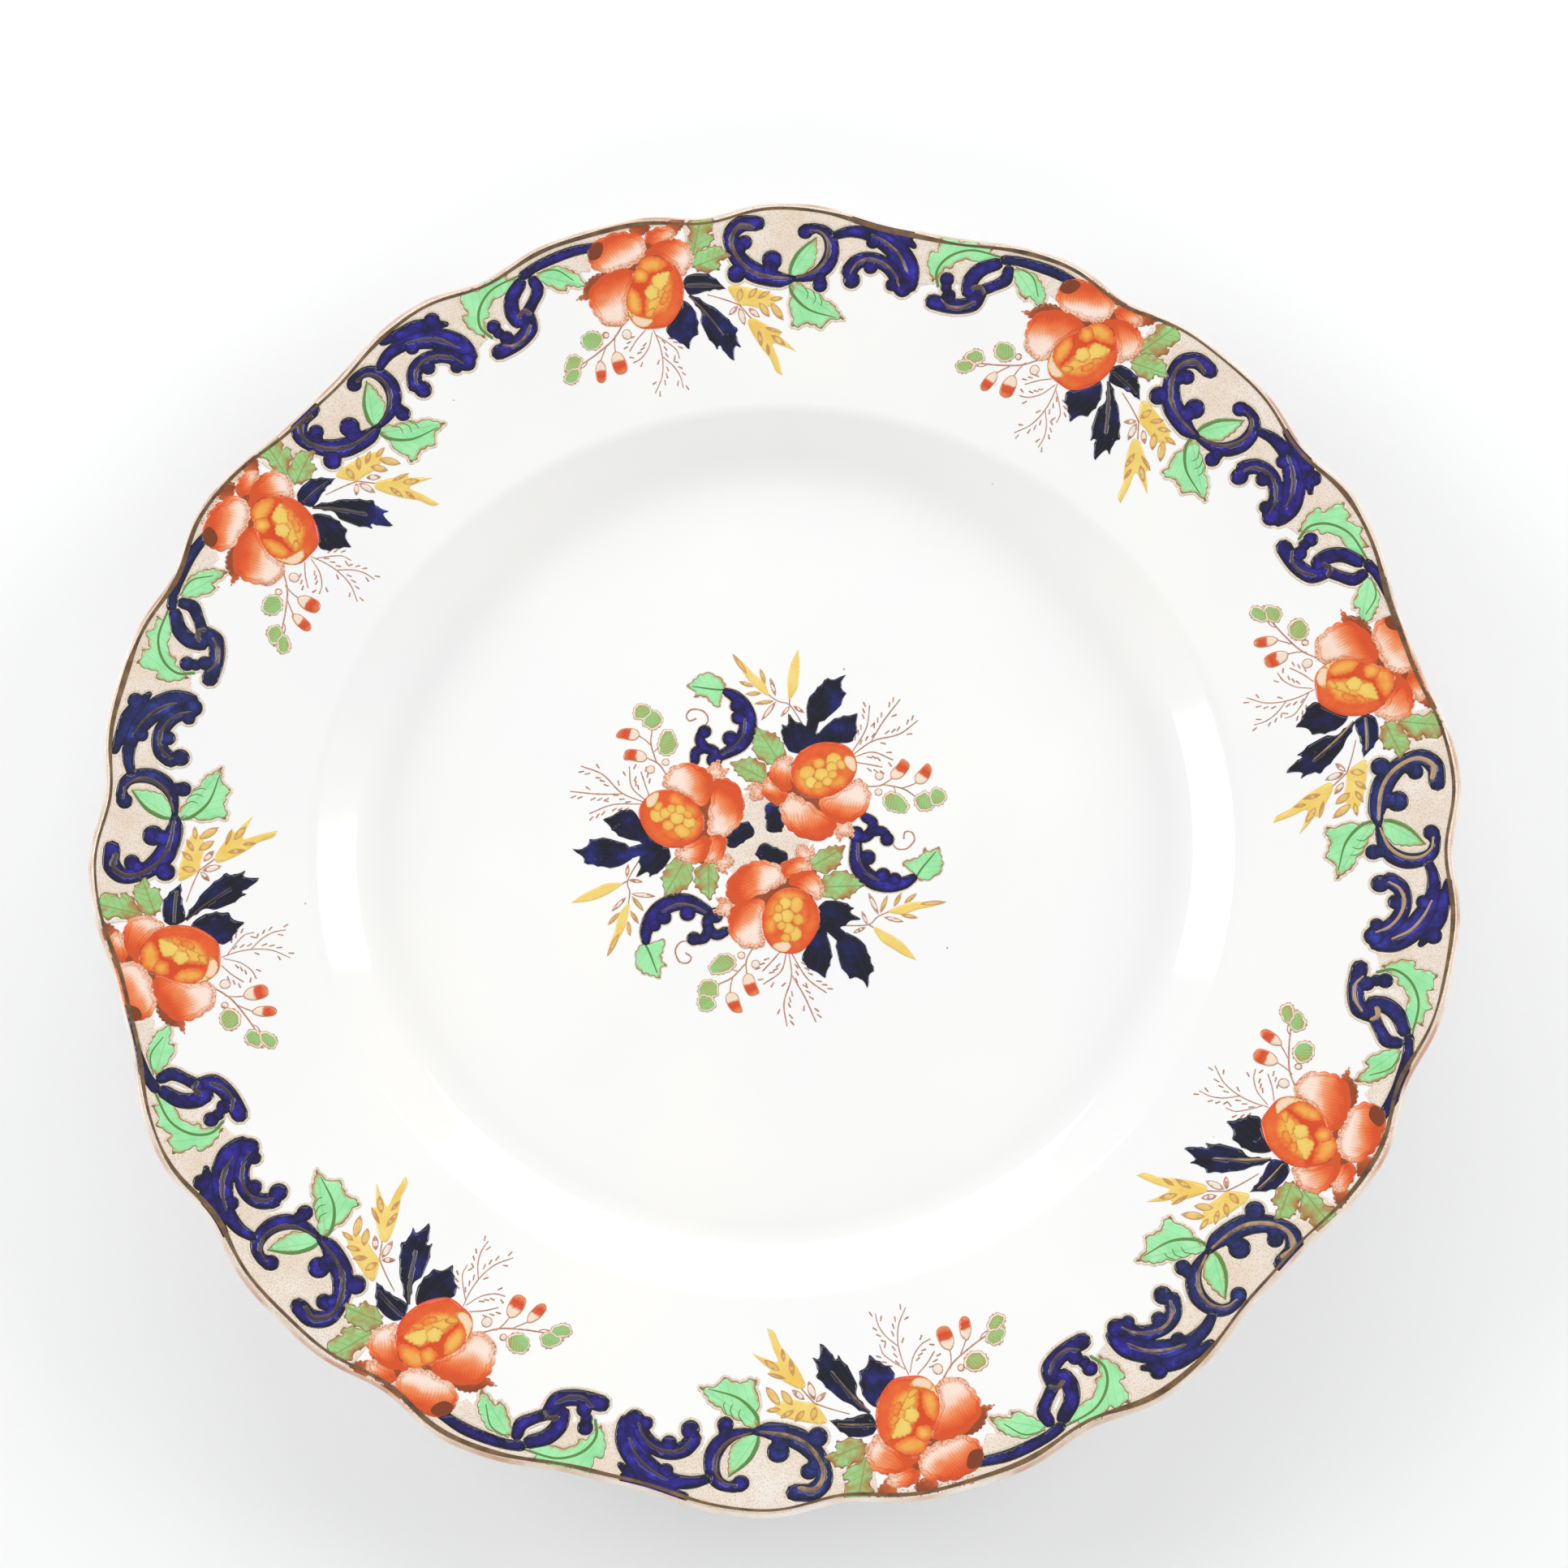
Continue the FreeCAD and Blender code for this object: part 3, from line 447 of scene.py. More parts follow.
def hue(text):
    """A linear colour from a hexadecimal sRGB one."""
    parts = [int(text[i:i + 2], 16) / 255 for i in (1, 3, 5)]
    return tuple(p / 12.92 if p <= 0.04045 else ((p + 0.055) / 1.055) ** 2.4 for p in parts) + (1.0,)


class Paint:
    """A node material with short names for the nodes that the finishes use."""

    def __init__(self, name, roughness=0.12, coat=0.0):
        self.material = bpy.data.materials.new(name)
        self.material.use_nodes = True
        self.tree = self.material.node_tree
        self.shader = self.tree.nodes["Principled BSDF"]
        self.fill(self.shader, {"Roughness": roughness, "IOR": 1.5, "Coat Weight": coat,
                                "Coat Roughness": 0.06})
        self.place = self.tree.nodes.new("ShaderNodeTexCoord").outputs["Object"]

    def fill(self, node, inputs):
        """Sets each input to its number or colour, or links it to another node's output."""
        for key, term in inputs.items():
            if isinstance(term, str):
                node.inputs[key].default_value = hue(term)
            elif isinstance(term, (int, float)):
                node.inputs[key].default_value = term
            else:
                self.tree.links.new(term, node.inputs[key])

    def node(self, kind, inputs, **settings):
        made = self.tree.nodes.new(kind)
        for key, value in settings.items():
            setattr(made, key, value)
        self.fill(made, inputs)
        return made

    def value(self, name):
        return self.node("ShaderNodeAttribute", {}, attribute_name=name).outputs["Fac"]

    def near(self, name, low, high):
        """0 where the named value is low, 1 where it is high."""
        return self.step(self.value(name), low, high)

    def math(self, operation, *terms, clamp=False):
        made = self.node("ShaderNodeMath", dict(enumerate(terms)), operation=operation, use_clamp=clamp)
        return made.outputs["Value"]

    def times(self, *terms):
        return self.math("MULTIPLY", *terms)

    def plus(self, *terms, clamp=False):
        return self.math("ADD", *terms, clamp=clamp)

    def sway(self, amount, per_mm, detail=2.0, roughness=0.5):
        """Noise around nought."""
        return self.times(self.math("SUBTRACT", self.noise(per_mm, detail, roughness), 0.5), amount)

    def noise(self, per_mm, detail=2.0, roughness=0.5):
        inputs = {"Vector": self.place, "Scale": per_mm / MM, "Detail": detail, "Roughness": roughness}
        return self.node("ShaderNodeTexNoise", inputs).outputs["Fac"]

    def dots(self, per_mm, size, softness=0.12):
        """1 in small scattered dots, 0 between them."""
        cells = self.node("ShaderNodeTexVoronoi", {"Vector": self.place, "Scale": per_mm / MM})
        return self.step(cells.outputs["Distance"], size + softness, size - softness)

    def step(self, source, low, high):
        """0 at low, 1 at high, clamped."""
        made = self.node("ShaderNodeMapRange", {"Value": source, "From Min": low, "From Max": high})
        return made.outputs["Result"]

    def ramp(self, source, stops):
        made = self.node("ShaderNodeValToRGB", {"Fac": source})
        elements = made.color_ramp.elements
        while len(elements) < len(stops):
            elements.new(0.5)
        for element, (place, colour) in zip(elements, stops):
            element.position = place
            element.color = hue(colour)
        return made.outputs["Color"]

    def mix(self, fac, first, second):
        """The first colour at 0, the second one at 1. The node's colour inputs are 6 and 7."""
        return self.node("ShaderNodeMix", {0: fac, 6: first, 7: second}, data_type="RGBA").outputs[2]

    def colour(self, source):
        self.fill(self.shader, {"Base Color": source})
        return self

    def bump(self, source, height_mm, strength=1.0):
        inputs = {"Strength": strength, "Distance": height_mm * MM, "Height": source}
        self.fill(self.shader, {"Normal": self.node("ShaderNodeBump", inputs).outputs["Normal"]})
        return self


def china_paint():
    p = Paint("china_glaze", roughness=0.08)
    tint = p.ramp(p.noise(0.02, 3.0), [(0.35, "#fbfaf7"), (0.65, "#f7f7f6")])
    specks = p.times(p.dots(0.09, 0.02, 0.006), p.step(p.noise(0.03, 1.0), 0.5, 0.6))
    glaze = p.mix(specks, tint, "#8d8478")
    rim = p.ramp(p.noise(0.08, 3.0), [(0.35, "#f4ece2"), (0.52, "#e8d4c0"), (0.64, "#d0a288")])
    return p.colour(p.mix(p.near("inset", 1.1, 0.6), glaze, rim)).bump(p.noise(0.045, 1.0), 0.06)


def foot_paint():
    p = Paint("bare_foot", roughness=0.7)
    grit = p.ramp(p.noise(2.5, 4.0, 0.7), [(0.3, "#cfc8bb"), (0.55, "#e6e2d9"), (0.75, "#efece5")])
    return p.colour(grit).bump(p.noise(3.0, 3.0), 0.03)


def line_paint(name, dark, light, inner="#f3e3d3"):
    """A fine printed line; shapes with a tone are only outlined with it."""
    p = Paint(name)
    line = p.ramp(p.noise(0.9, 2.0), [(0.35, dark), (0.65, light)])
    return p.colour(p.mix(p.times(p.value("tone"), p.near("edge", 0.12, 0.2)), line, inner))


def gilt_paint():
    p = Paint("gilt", roughness=0.3)
    p.shader.inputs["Metallic"].default_value = 0.25
    worn = p.ramp(p.noise(0.35, 4.0, 0.65), [(0.3, "#54412f"), (0.5, "#765b40"), (0.7, "#927148")])
    return p.colour(worn)


def spine_paint():
    """Gold lines on the cobalt: bright where the gold is left, brown where it is worn."""
    p = Paint("spine_gold", roughness=0.3)
    worn = p.plus(p.noise(0.013, 1.0), p.sway(0.5, 0.4, 3.0))
    return p.colour(p.ramp(worn, [(0.42, "#453730"), (0.56, "#66503f"), (0.72, "#b8966a")]))


def edge_print_paint():
    p = Paint("edge_stipple")
    patch = p.ramp(p.noise(0.05, 3.0), [(0.4, "#f2e6d8"), (0.6, "#e9cfb8")])
    speck = p.times(p.dots(2.4, 0.36), p.step(p.noise(0.07, 2.0), 0.38, 0.56))
    return p.colour(p.mix(speck, patch, "#bf6a3e"))


def ground_paint():
    p = Paint("ground_stipple")
    wash = p.ramp(p.noise(0.1, 4.0, 0.6), [(0.32, "#f2e9de"), (0.68, "#ead8c4")])
    stippled = p.mix(p.times(p.dots(2.9, 0.3), 0.62), wash, "#c29a7c")
    halo = p.mix(p.times(p.dots(2.8, 0.32), 0.6), "#e9dac6", "#a98c6c")
    return p.colour(p.mix(p.value("tone"), stippled, halo))


def cobalt_paint():
    p = Paint("cobalt")
    wavy = p.plus(p.value("skirt"), p.sway(0.9, 0.5, 3.0))
    rim = p.step(wavy, 0.1, 0.95)
    crease = p.plus(0.3, p.times(p.near("edge", 0.0, 0.6), 0.7))
    depth = p.times(p.times(rim, crease), p.step(p.noise(0.3, 4.0, 0.66), 0.3, 0.72))
    violet = p.ramp(depth, [(0.0, "#0c0a22"), (0.2, "#160f48"), (0.5, "#241878"), (1.0, "#3a35b6")])
    slate = p.ramp(depth, [(0.0, "#10132a"), (0.3, "#1a2150"), (0.6, "#242c6c"), (1.0, "#36459e")])
    blue = p.mix(p.step(p.noise(0.016, 1.0), 0.5, 0.62), violet, slate)
    # Pale blue streaks laid at random: painted glints on the glossy cobalt.
    glints = p.times(p.step(p.noise(0.35, 4.0, 0.7), 0.66, 0.74), 0.35)
    return p.colour(p.mix(glints, blue, "#7d86c8")).bump(p.noise(0.4, 2.0), 0.015)


def cobalt_leaf_paint():
    p = Paint("cobalt_leaf")
    blue = p.step(p.noise(0.2, 3.0, 0.6), 0.45, 0.75)
    ribs = p.math("PINGPONG", p.plus(p.value("across"), p.value("reach")), 0.8)
    rib = p.step(ribs, 0.1, 0.0)
    base = p.ramp(blue, [(0.0, "#0a0b1c"), (0.5, "#14154a"), (1.0, "#252a86")])
    ribbed = p.mix(p.times(rib, 0.3), base, "#2f3160")
    # Pale blue streaks laid at random: painted glints on the glossy leaves.
    glints = p.times(p.step(p.noise(0.3, 4.0, 0.7), 0.66, 0.72), 0.5)
    return p.colour(p.mix(glints, ribbed, "#7f8dd0")).bump(p.noise(0.5), 0.02)


def petal_paint():
    """Deep orange at the tips, fading to blush at the foot, with fine lines and a scalloped inner border."""
    p = Paint("rose_petal")
    drift = p.times(p.noise(0.25, 2.0), 1.6)
    lines = p.math("PINGPONG", p.plus(p.value("across"), drift), 0.28)
    hatch = p.times(p.step(lines, 0.14, 0.02), 0.08)
    wander = p.times(p.noise(0.45, 1.0), 1.6)
    border = p.step(p.math("ABSOLUTE", p.math("SUBTRACT", p.value("edge"), wander)), 0.2, 0.04)
    rim = p.times(p.near("edge", 1.1, 0.0), 0.16)
    sway = p.plus(p.value("reach"), p.sway(0.3, 0.3, 3.0))
    body = p.times(p.step(sway, 0.16, 0.8), 0.72)
    ink = p.plus(p.plus(body, rim), p.plus(hatch, p.times(border, 0.14)))
    cloud = p.plus(ink, p.sway(0.4, 0.16, 3.0))
    rest = p.times(p.math("MINIMUM", cloud, 0.8), p.math("SUBTRACT", 1.0, p.value("tone")))
    warmth = p.plus(rest, p.value("tone"), clamp=True)
    wash = p.ramp(warmth, [(0.0, "#fae6d8"), (0.16, "#f7cfb6"), (0.34, "#f0935f"), (0.55, "#ea6a32"),
                           (0.78, "#d94a1a"), (0.86, "#cf6a34"), (0.92, "#b5562a"), (1.0, "#7f3b1c")])
    painted = p.near("tone", 0.9, 0.5)
    foot = p.times(p.times(p.near("reach", 0.42, 0.1), p.near("edge", 1.5, 0.1)), painted)
    footed = p.mix(p.times(foot, 0.45), wash, "#d98a5c")
    return p.colour(p.mix(p.times(foot, p.dots(2.4, 0.42)), footed, "#c0652f"))


def heart_paint():
    """Lobes from deep orange to yellow, each one deeper towards its edge; the yellow ones are outlined."""
    p = Paint("rose_heart")
    tones = [(0.0, "#d9481a"), (0.16, "#e6602a"), (0.32, "#ec8434"), (0.46, "#efa348"), (0.62, "#efbc56"),
             (0.8, "#f0d06a")]
    wavy = p.plus(p.value("edge"), p.sway(0.5, 0.9, 2.0))
    at_edge = p.plus(0.35, p.times(p.near("tone", 0.55, 0.72), 0.45))
    inward = p.plus(at_edge, p.times(p.step(wavy, 0.0, 1.1), p.math("SUBTRACT", 1.0, at_edge)))
    flow = p.sway(0.42, 0.24, 4.0, 0.6)
    body = p.ramp(p.plus(p.times(p.value("tone"), inward), flow), tones)
    line = p.times(p.step(wavy, 0.3, 0.02), p.times(p.near("tone", 0.5, 0.66), 0.55))
    pale = p.times(p.near("tone", 0.9, 1.0), p.step(wavy, 0.0, 0.5))
    return p.colour(p.mix(pale, p.mix(line, body, "#a05e22"), "#f6d6bf"))


def leaf_paint(name, light, mid, dark, rust, rust_reach=0.0, veins=0.55):
    """A serrated leaf: side veins off the midrib, a darker edge and rust tips."""
    p = Paint(name)
    base = p.ramp(p.noise(0.22, 3.0, 0.6), [(0.3, mid), (0.6, light)])
    slanted = p.plus(p.math("ABSOLUTE", p.value("across")), p.times(p.value("reach"), -9.0))
    vein = p.step(p.math("PINGPONG", slanted, 0.9), 0.13, 0.03)
    spine = p.step(p.math("ABSOLUTE", p.value("across")), 0.22, 0.1)
    veined = p.mix(p.times(p.math("MAXIMUM", vein, spine), veins), base, dark)
    rusty = p.times(p.step(p.noise(0.32, 2.0), 0.46, 0.58), p.near("edge", rust_reach, 0.0))
    stained = p.mix(p.math("MAXIMUM", rusty, p.times(p.dots(2.2, 0.3), rusty)), veined, rust)
    inked = p.mix(p.near("edge", 0.24, 0.05), stained, "#94683c")
    return p.colour(p.mix(p.value("tone"), inked, dark))


def bud_leaf_paint():
    """Green laid unevenly inside its printed outline, hatched on one side of the rib."""
    p = Paint("bud_leaf")
    green = p.ramp(p.noise(0.25, 3.0), [(0.35, "#94c87e"), (0.65, "#a4bd70")])
    slanted = p.plus(p.value("across"), p.times(p.value("reach"), 4.0))
    lines = p.step(p.math("PINGPONG", slanted, 0.36), 0.13, 0.03)
    hatch = p.times(lines, p.near("across", 0.2, -0.3))
    hatched = p.mix(p.times(hatch, 0.6), green, "#a86a34")
    blot = p.times(p.step(p.noise(0.3, 2.0), 0.5, 0.6), p.near("edge", 1.0, 0.2))
    filled = p.mix(blot, hatched, "#bd7a40")
    gap = p.math("SUBTRACT", p.value("edge"), p.times(p.noise(0.3, 1.0), 0.55))
    bare = p.mix(p.step(gap, 0.0, 0.14), "#f3e8da", filled)
    return p.colour(p.mix(p.near("edge", 0.2, 0.08), bare, "#cc9470"))


def bud_paint():
    p = Paint("rose_bud")
    part = p.plus(p.value("reach"), p.sway(0.3, 0.5))
    body = p.ramp(part, [(0.4, "#f3e0c9"), (0.5, "#dc5a30"), (0.72, "#d64a22"), (1.0, "#ee8a52")])
    return p.colour(p.mix(p.near("edge", 0.26, 0.1), body, "#cb8a5e"))


def sprig_paint():
    """A yellow wash with darker leaflets over it."""
    p = Paint("yellow_sprig")
    wash = p.ramp(p.noise(0.25, 3.0), [(0.3, "#efc75c"), (0.7, "#f4d97e")])
    leaflet_tint = p.ramp(p.noise(0.5, 2.0), [(0.35, "#e4b864"), (0.65, "#edca7c")])
    outlined = p.mix(p.times(p.near("edge", 0.3, 0.08), 0.7), leaflet_tint, "#b97f4a")
    return p.colour(p.mix(p.value("tone"), wash, outlined))


# ---------------------------------------------------------------- border, one repeat

GROUND = [(24, 134), (48, 134), (72, 134), (96, 134), (103, 134), (103, 129), (99, 124), (95, 125.2),
          (88, 126.6), (82, 121), (75, 119.4), (72, 118.2), (66, 122), (58, 122), (50, 118.4), (44.6, 117),
          (36, 119), (32, 121), (28, 122.6), (24.4, 124)]
SEPALS = [
    [(7.4, 122.8), (9.6, 123.8), (13, 124.4), (16, 126.6), (17.6, 127.6), (21, 127.4), (23.4, 125),
     (22.8, 119.6), (18, 117), (12, 117.6), (9.4, 119.8)],
    [(14.3, 129.2), (14.6, 131), (16.2, 131.3), (18, 130.6), (17.8, 129.4), (16.2, 128.8)],
    [(21.2, 128.8), (21.8, 130.6), (24.6, 130.4, 1), (24, 128.8), (22.4, 127.4, 1)],
    [(0.4, 119.4, 1), (2.2, 120.3), (3.2, 121.9), (5.2, 123), (7.8, 123), (6.2, 121), (3.6, 118.8)],
]
PETALS = [
    ([(5.3, 126), (6.2, 128.6), (8.5, 130), (11.5, 130.4), (14.5, 129.6), (16.6, 127.8), (16.4, 125.2),
      (15, 123.6), (12, 122.8), (8, 122.9), (6, 124)], ((12, 123.6), (9.6, 130.2)), 0),
    ([(16.9, 127), (17.2, 129), (19.5, 129.6), (21.8, 129), (22.6, 127.6), (21.6, 126.6), (19, 126.4)],
     ((21.4, 126.6), (17.4, 129.6)), 0.08),
    ([(15.9, 124.6), (18, 126.2), (21, 126.7), (23.8, 126), (25.2, 124.2), (25, 121.5), (23.8, 119.6),
      (22.4, 119), (21.5, 121), (19.5, 123.4), (17.5, 124.2)], ((24.4, 120.6), (18.6, 127.2)), 0),
    ([(2.7, 117), (3.2, 119.6), (5, 121.6), (8, 122.6), (11, 122.8), (13.4, 121.6), (12, 119),
      (10.4, 116.5), (10, 113.6), (9.4, 112.1), (7.6, 111.7), (5.4, 112), (3.8, 113.6)],
     ((8.6, 114), (6.6, 122.6)), 0),
]
BLOTS = [[(5.5, 126.3), (5.5, 128.2), (7.2, 129.4), (8.6, 129.0), (8.3, 127.4), (7.2, 126.2)]]
# The cup of the rose and the lobes inside it, back to front, each with its tone and how ruffled it is.
HEART = [
    ([(14, 121.8), (14.6, 123.4), (16.6, 124.2), (19, 123.4), (21, 121.6), (22.4, 119.2), (22.6, 116.2),
      (21.6, 113), (19.6, 110.6), (17.4, 109.3), (14.6, 109.4), (12, 110), (10.4, 111.6), (9.8, 114),
      (10.4, 117), (12, 119.6)], 0.16, 0),
    ([(9.9, 114.8), (10.6, 114.2), (11.4, 112.8), (13, 112), (14.8, 111.2), (13.4, 110.2), (11.8, 110.4),
      (10.4, 111.8)], 1, 0.1),
    ([(12, 118.6), (12.9, 113), (13.8, 112.4), (15, 114.8), (15.6, 118.6), (17, 120.2), (20.4, 120),
      (20.6, 121.4), (16.4, 121.8), (13.6, 120.6)], 0, 0.15),
    ([(13.8, 121), (14.6, 123.4), (16.8, 124.1), (19, 123.3), (20, 121.7), (18.2, 120.8), (16, 120.6)], 0.5,
     0.25),
    ([(13, 119.5), (13.2, 121.6), (14.8, 122.2), (16, 120.8), (15.1, 119.2)], 0.56, 0.2),
    ([(10.2, 114.4), (10.5, 117.1), (11.9, 118.8), (13.2, 116.9), (13.2, 114.6), (12.4, 112.9),
      (10.9, 113.2)], 0.54, 0.2),
    ([(13.4, 112.2), (15.6, 111.8), (18.6, 113), (20.2, 116.2), (20.4, 119.4), (18.8, 120.4), (16.6, 119.6),
      (14.6, 116.4)], 0.5, 0.3),
    ([(16.2, 118), (16.8, 119.9), (18.2, 120.3), (20.1, 120.2), (19.6, 118.4), (18.3, 117), (17.1, 116.9)],
     0.84, 0.3),
    ([(14.6, 115.6), (14.5, 117.3), (15.8, 118.3), (17.2, 117.5), (17.1, 116), (16, 114.9)], 0.82, 0.3),
    ([(14.1, 113.4), (14.8, 114.8), (16.2, 115.5), (17.8, 115.4), (16.6, 113.9), (15.2, 112.8)], 0.7, 0.3),
    ([(13.4, 112.2), (14.2, 113.3), (15.6, 113.5), (15.4, 112.4), (14.4, 111.8)], 0.66, 0.2),
    ([(17, 114.6), (18.4, 116.4), (19.4, 116.2), (19, 114.8), (17.8, 113.6)], 0.58, 0.25),
    ([(18.2, 117), (19.4, 118), (20.2, 117.6), (19.8, 116.4), (18.8, 116)], 0.6, 0.25),
]
ROSE_LEAVES = [
    ([(24.2, 124.4), (25.6, 127.2), (25.4, 129.6), (27.4, 130.6), (29.6, 130.4, 1), (29.8, 128.2),
      (28.8, 126.8), (29.9, 126.2, 1), (28.9, 124.8), (27.2, 123.8), (25.6, 122.9)],
     ((25.6, 123.4), (27.8, 130.2))),
    ([(25.2, 121), (26, 122.8), (28.4, 123.7), (30.6, 123.9), (32.6, 121.7, 1), (30.6, 121.2),
      (30.4, 119.5, 1), (27.8, 119.2), (26.2, 119.6)], ((25.2, 120.4), (31.6, 122.2))),
]
COBALT_LEAVES = [
    ([(22.4, 117.4), (23.4, 118.6), (25.4, 119.1), (27.6, 118.8), (29.3, 117.6), (31.6, 115.1, 1),
      (28.4, 115.2), (25, 114.8), (23.2, 115.3)], ((22.6, 116.6), (31.4, 115.6))),
    ([(23.6, 114.9), (25.4, 114), (27.6, 112.2), (29.6, 110.8), (31.6, 108.6), (33.4, 106.5, 1),
      (32.8, 105.4), (33.8, 103, 1), (32.4, 103.3), (31.9, 100.4, 1), (30.2, 101.6), (28.8, 103.7),
      (28.2, 103, 1), (27, 104.6), (25.8, 106.6), (25.2, 109), (25.4, 111), (24.2, 113.2)],
     ((24.2, 114), (31.6, 101.6))),
    ([(20.2, 112.6), (22, 114), (23.6, 112.8), (24.4, 110.6), (24.6, 109), (24.1, 106.6, 1), (22.6, 105.8),
      (21.6, 103.9, 1), (19.8, 105.4), (17.8, 107, 1), (17, 108.6), (18.4, 110.4)],
     ((22, 113.4), (21.4, 104.6))),
]
SPRIGS = [
    [(31.8, 115.4), (33.4, 115.7), (35.8, 115.2), (38.8, 114.5), (41, 113.6), (42.4, 112.8, 1),
     (41.6, 111.6), (40.2, 110.9), (38.2, 110.8), (36.2, 111.3), (34.2, 111.7), (32.8, 113.2)],
    [(35.6, 108.3), (36.8, 108.8), (38.8, 107.9), (41, 106.7), (43.4, 105.7, 1), (42.8, 105), (44.2, 104),
     (46.8, 101.9, 1), (43.8, 102.9), (41.2, 103.4), (42.5, 100.4), (43.7, 97, 1), (42, 97.8),
     (40.6, 100.4), (38.8, 102.4), (37.2, 104.6), (36.1, 106.6)],
]
# Leaflets of the yellow sprigs: root, tip, half width.
LEAFLETS = [
    ((33.9, 112.3), (34.6, 115.1), 0.72),
    ((36, 112.9), (38.1, 115), 0.6),
    ((38, 112.8), (40.8, 114.2), 0.55),
    ((40.6, 112.5), (43.6, 112.8), 0.5),
    ((38.3, 111.9), (40.6, 108.9), 0.8),
    ((40.8, 111.8), (43.7, 108.2), 0.85),
    ((39.4, 106.8), (43.5, 105.7), 0.42),
    ((40.8, 105.2), (44.3, 103.1), 0.66),
    ((38, 106.4), (38.6, 102.8), 0.6),
    ((39.9, 103.6), (40.3, 100.9), 0.5),
]
BARE_LEAFLETS = [
    ((33.7, 111.5), (31.5, 109.8), 0.55),
    ((33.9, 111.2), (34.9, 107.4), 0.75),
    ((35.9, 110.9), (38.4, 108.9), 0.62),
]
SCROLL_LEAVES = [
    ([(45, 117.2), (44.9, 118.6), (45.6, 120.4), (46.8, 122.3), (48.2, 123.9), (49.8, 125.1, 1),
      (50.2, 123.4), (50.1, 121.6), (49.9, 120), (49, 118.6), (47.2, 117.5)], ((45, 117.4), (49.8, 125))),
    ([(45.3, 116.3), (45.5, 114.6), (45.2, 112.6), (44.9, 110.8), (45.8, 108.8), (45.6, 107, 1),
      (47.2, 106.9), (48.6, 107.6), (50.8, 107.3), (52.6, 106.7, 1), (53.4, 108.2), (55.2, 108.9),
      (57.2, 109, 1), (55.6, 110.6), (54.4, 111.9), (52.6, 112.6), (51.2, 113.8), (49.8, 114.4),
      (48.4, 114.9), (46.8, 116)], ((45.4, 115.4), (56.4, 109.2))),
    ([(74.4, 119.6, 1), (73.2, 121.4), (72.3, 123.6), (72.6, 125.6), (73.8, 125.8), (73.6, 127.8),
      (74.2, 130, 1), (75.6, 129.5), (76.8, 130, 1), (77.6, 128.8), (80.2, 130.4, 1), (81.6, 129.3),
      (83.8, 129.8, 1), (83.6, 128.4), (85.6, 127.6), (84.6, 126.7), (82.4, 125.8), (80, 125.8),
      (78, 124.8), (77.2, 123.2), (76, 122.8), (75.4, 121.2)], ((74.6, 120.4), (85, 128.6))),
    ([(88.8, 126.5), (91, 127.4), (93.2, 127.2), (95, 126), (96.6, 124.2), (97.4, 121.2, 1), (95.6, 121.9),
      (93.9, 122.7), (93.3, 121.7, 1), (91.6, 122.8), (90, 124.6)], ((89, 127), (97.2, 121.6))),
]
SCROLLS = {
    "cobalt_c_scrolls": (
        [
            [(38.4, 128.2, 1.6), (35.4, 128.2, 1.7), (33.4, 126.4, 1.6), (33.3, 123.8, 1.5),
             (34.7, 120.9, 1.8), (37.2, 118.4, 2.1), (40.2, 117.2, 2), (43, 116.5, 1.6),
             (45.4, 116.7, 0.8)],
        ],
        [(35.8, 124.4, 1.55), (34.9, 123.2, 1.2), (41.2, 120.5, 2.1), (40.8, 118.8, 1.7),
         (33.8, 118.1, 1.9)],
    ),
    "cobalt_loop_scrolls": (
        [
            [(47.8, 126.7, 1.4), (49.8, 127.2, 1), (51.8, 126.4, 1.2), (52.9, 124.4, 1.4),
             (53.1, 121.8, 1.6), (52.1, 119.4, 1.6), (50.4, 117.9, 1.3), (48.2, 117, 0.9),
             (45.8, 116.7, 0.6)],
        ],
        [(47.7, 126.4, 1.5), (51.3, 115.7, 1.6), (51.3, 117, 1.2)],
    ),
    "cobalt_crest_scrolls": (
        [
            [(53.6, 126, 0.9), (56.4, 127, 1.2), (60, 127, 1.5), (63.4, 125.8, 2), (66.6, 123.8, 2.3),
             (69, 121, 2.2), (69.6, 118.2, 2)],
            [(67.8, 117.2, 1.6), (66.2, 119.8, 1.5), (63.8, 121.4, 1.5), (60.9, 121.9, 1.5),
             (58.4, 120.9, 1.6), (57, 118.9, 1.6)],
            [(57.1, 129.7, 0.8), (60.2, 129.2, 1.2), (63.6, 128.7, 1.4), (66.4, 127.4, 1.3),
             (69, 125.9, 0.6)],
        ],
        [(57.8, 117.2, 1.8), (61.3, 120.3, 1.5), (61, 125.4, 1.4), (67.1, 128, 1.6), (68.6, 117.1, 1.9),
         (66.2, 117.3, 1.3)],
    ),
    "cobalt_hook_scrolls": (
        [
            [(75.4, 115.7, 1.6), (78.4, 115.7, 1.6), (81.2, 116.2, 1.6), (83.6, 117.6, 1.7),
             (84.4, 120, 1.3)],
            [(81.9, 119.8, 1.6), (81.7, 122, 1.6), (82.9, 124.6, 1.5), (85.4, 126.6, 1.3)],
            [(84.2, 120.4, 1.2), (86.4, 122.2, 1.1), (88.1, 124.1, 1.3), (88, 126.2, 1.1)],
        ],
        [(77, 120.8, 1.5), (77.3, 119.2, 1.2), (78.3, 117.6, 1.5)],
    ),
    "cobalt_bars": (
        [[(86.6, 127.9, 1), (89.4, 128.6, 1), (93.4, 129, 1.1), (97.4, 129.1, 1.1), (102.4, 128.5, 0.9)]],
        [],
    ),
}
BUDS = [
    ([(0.9, 106.2), (1.6, 104.8), (0.9, 102.4), (-0.4, 101.6), (-1.4, 102.4), (-1, 104.4), (0, 105.8)],
     ((0.8, 106.2), (-0.4, 101.6))),
    ([(4.8, 106.9), (6.2, 105.8), (6.5, 103.2), (5.4, 102.1), (3.6, 102.4), (3.1, 104.2), (3.6, 106)],
     ((4.8, 106.9), (4.8, 102.2))),
]
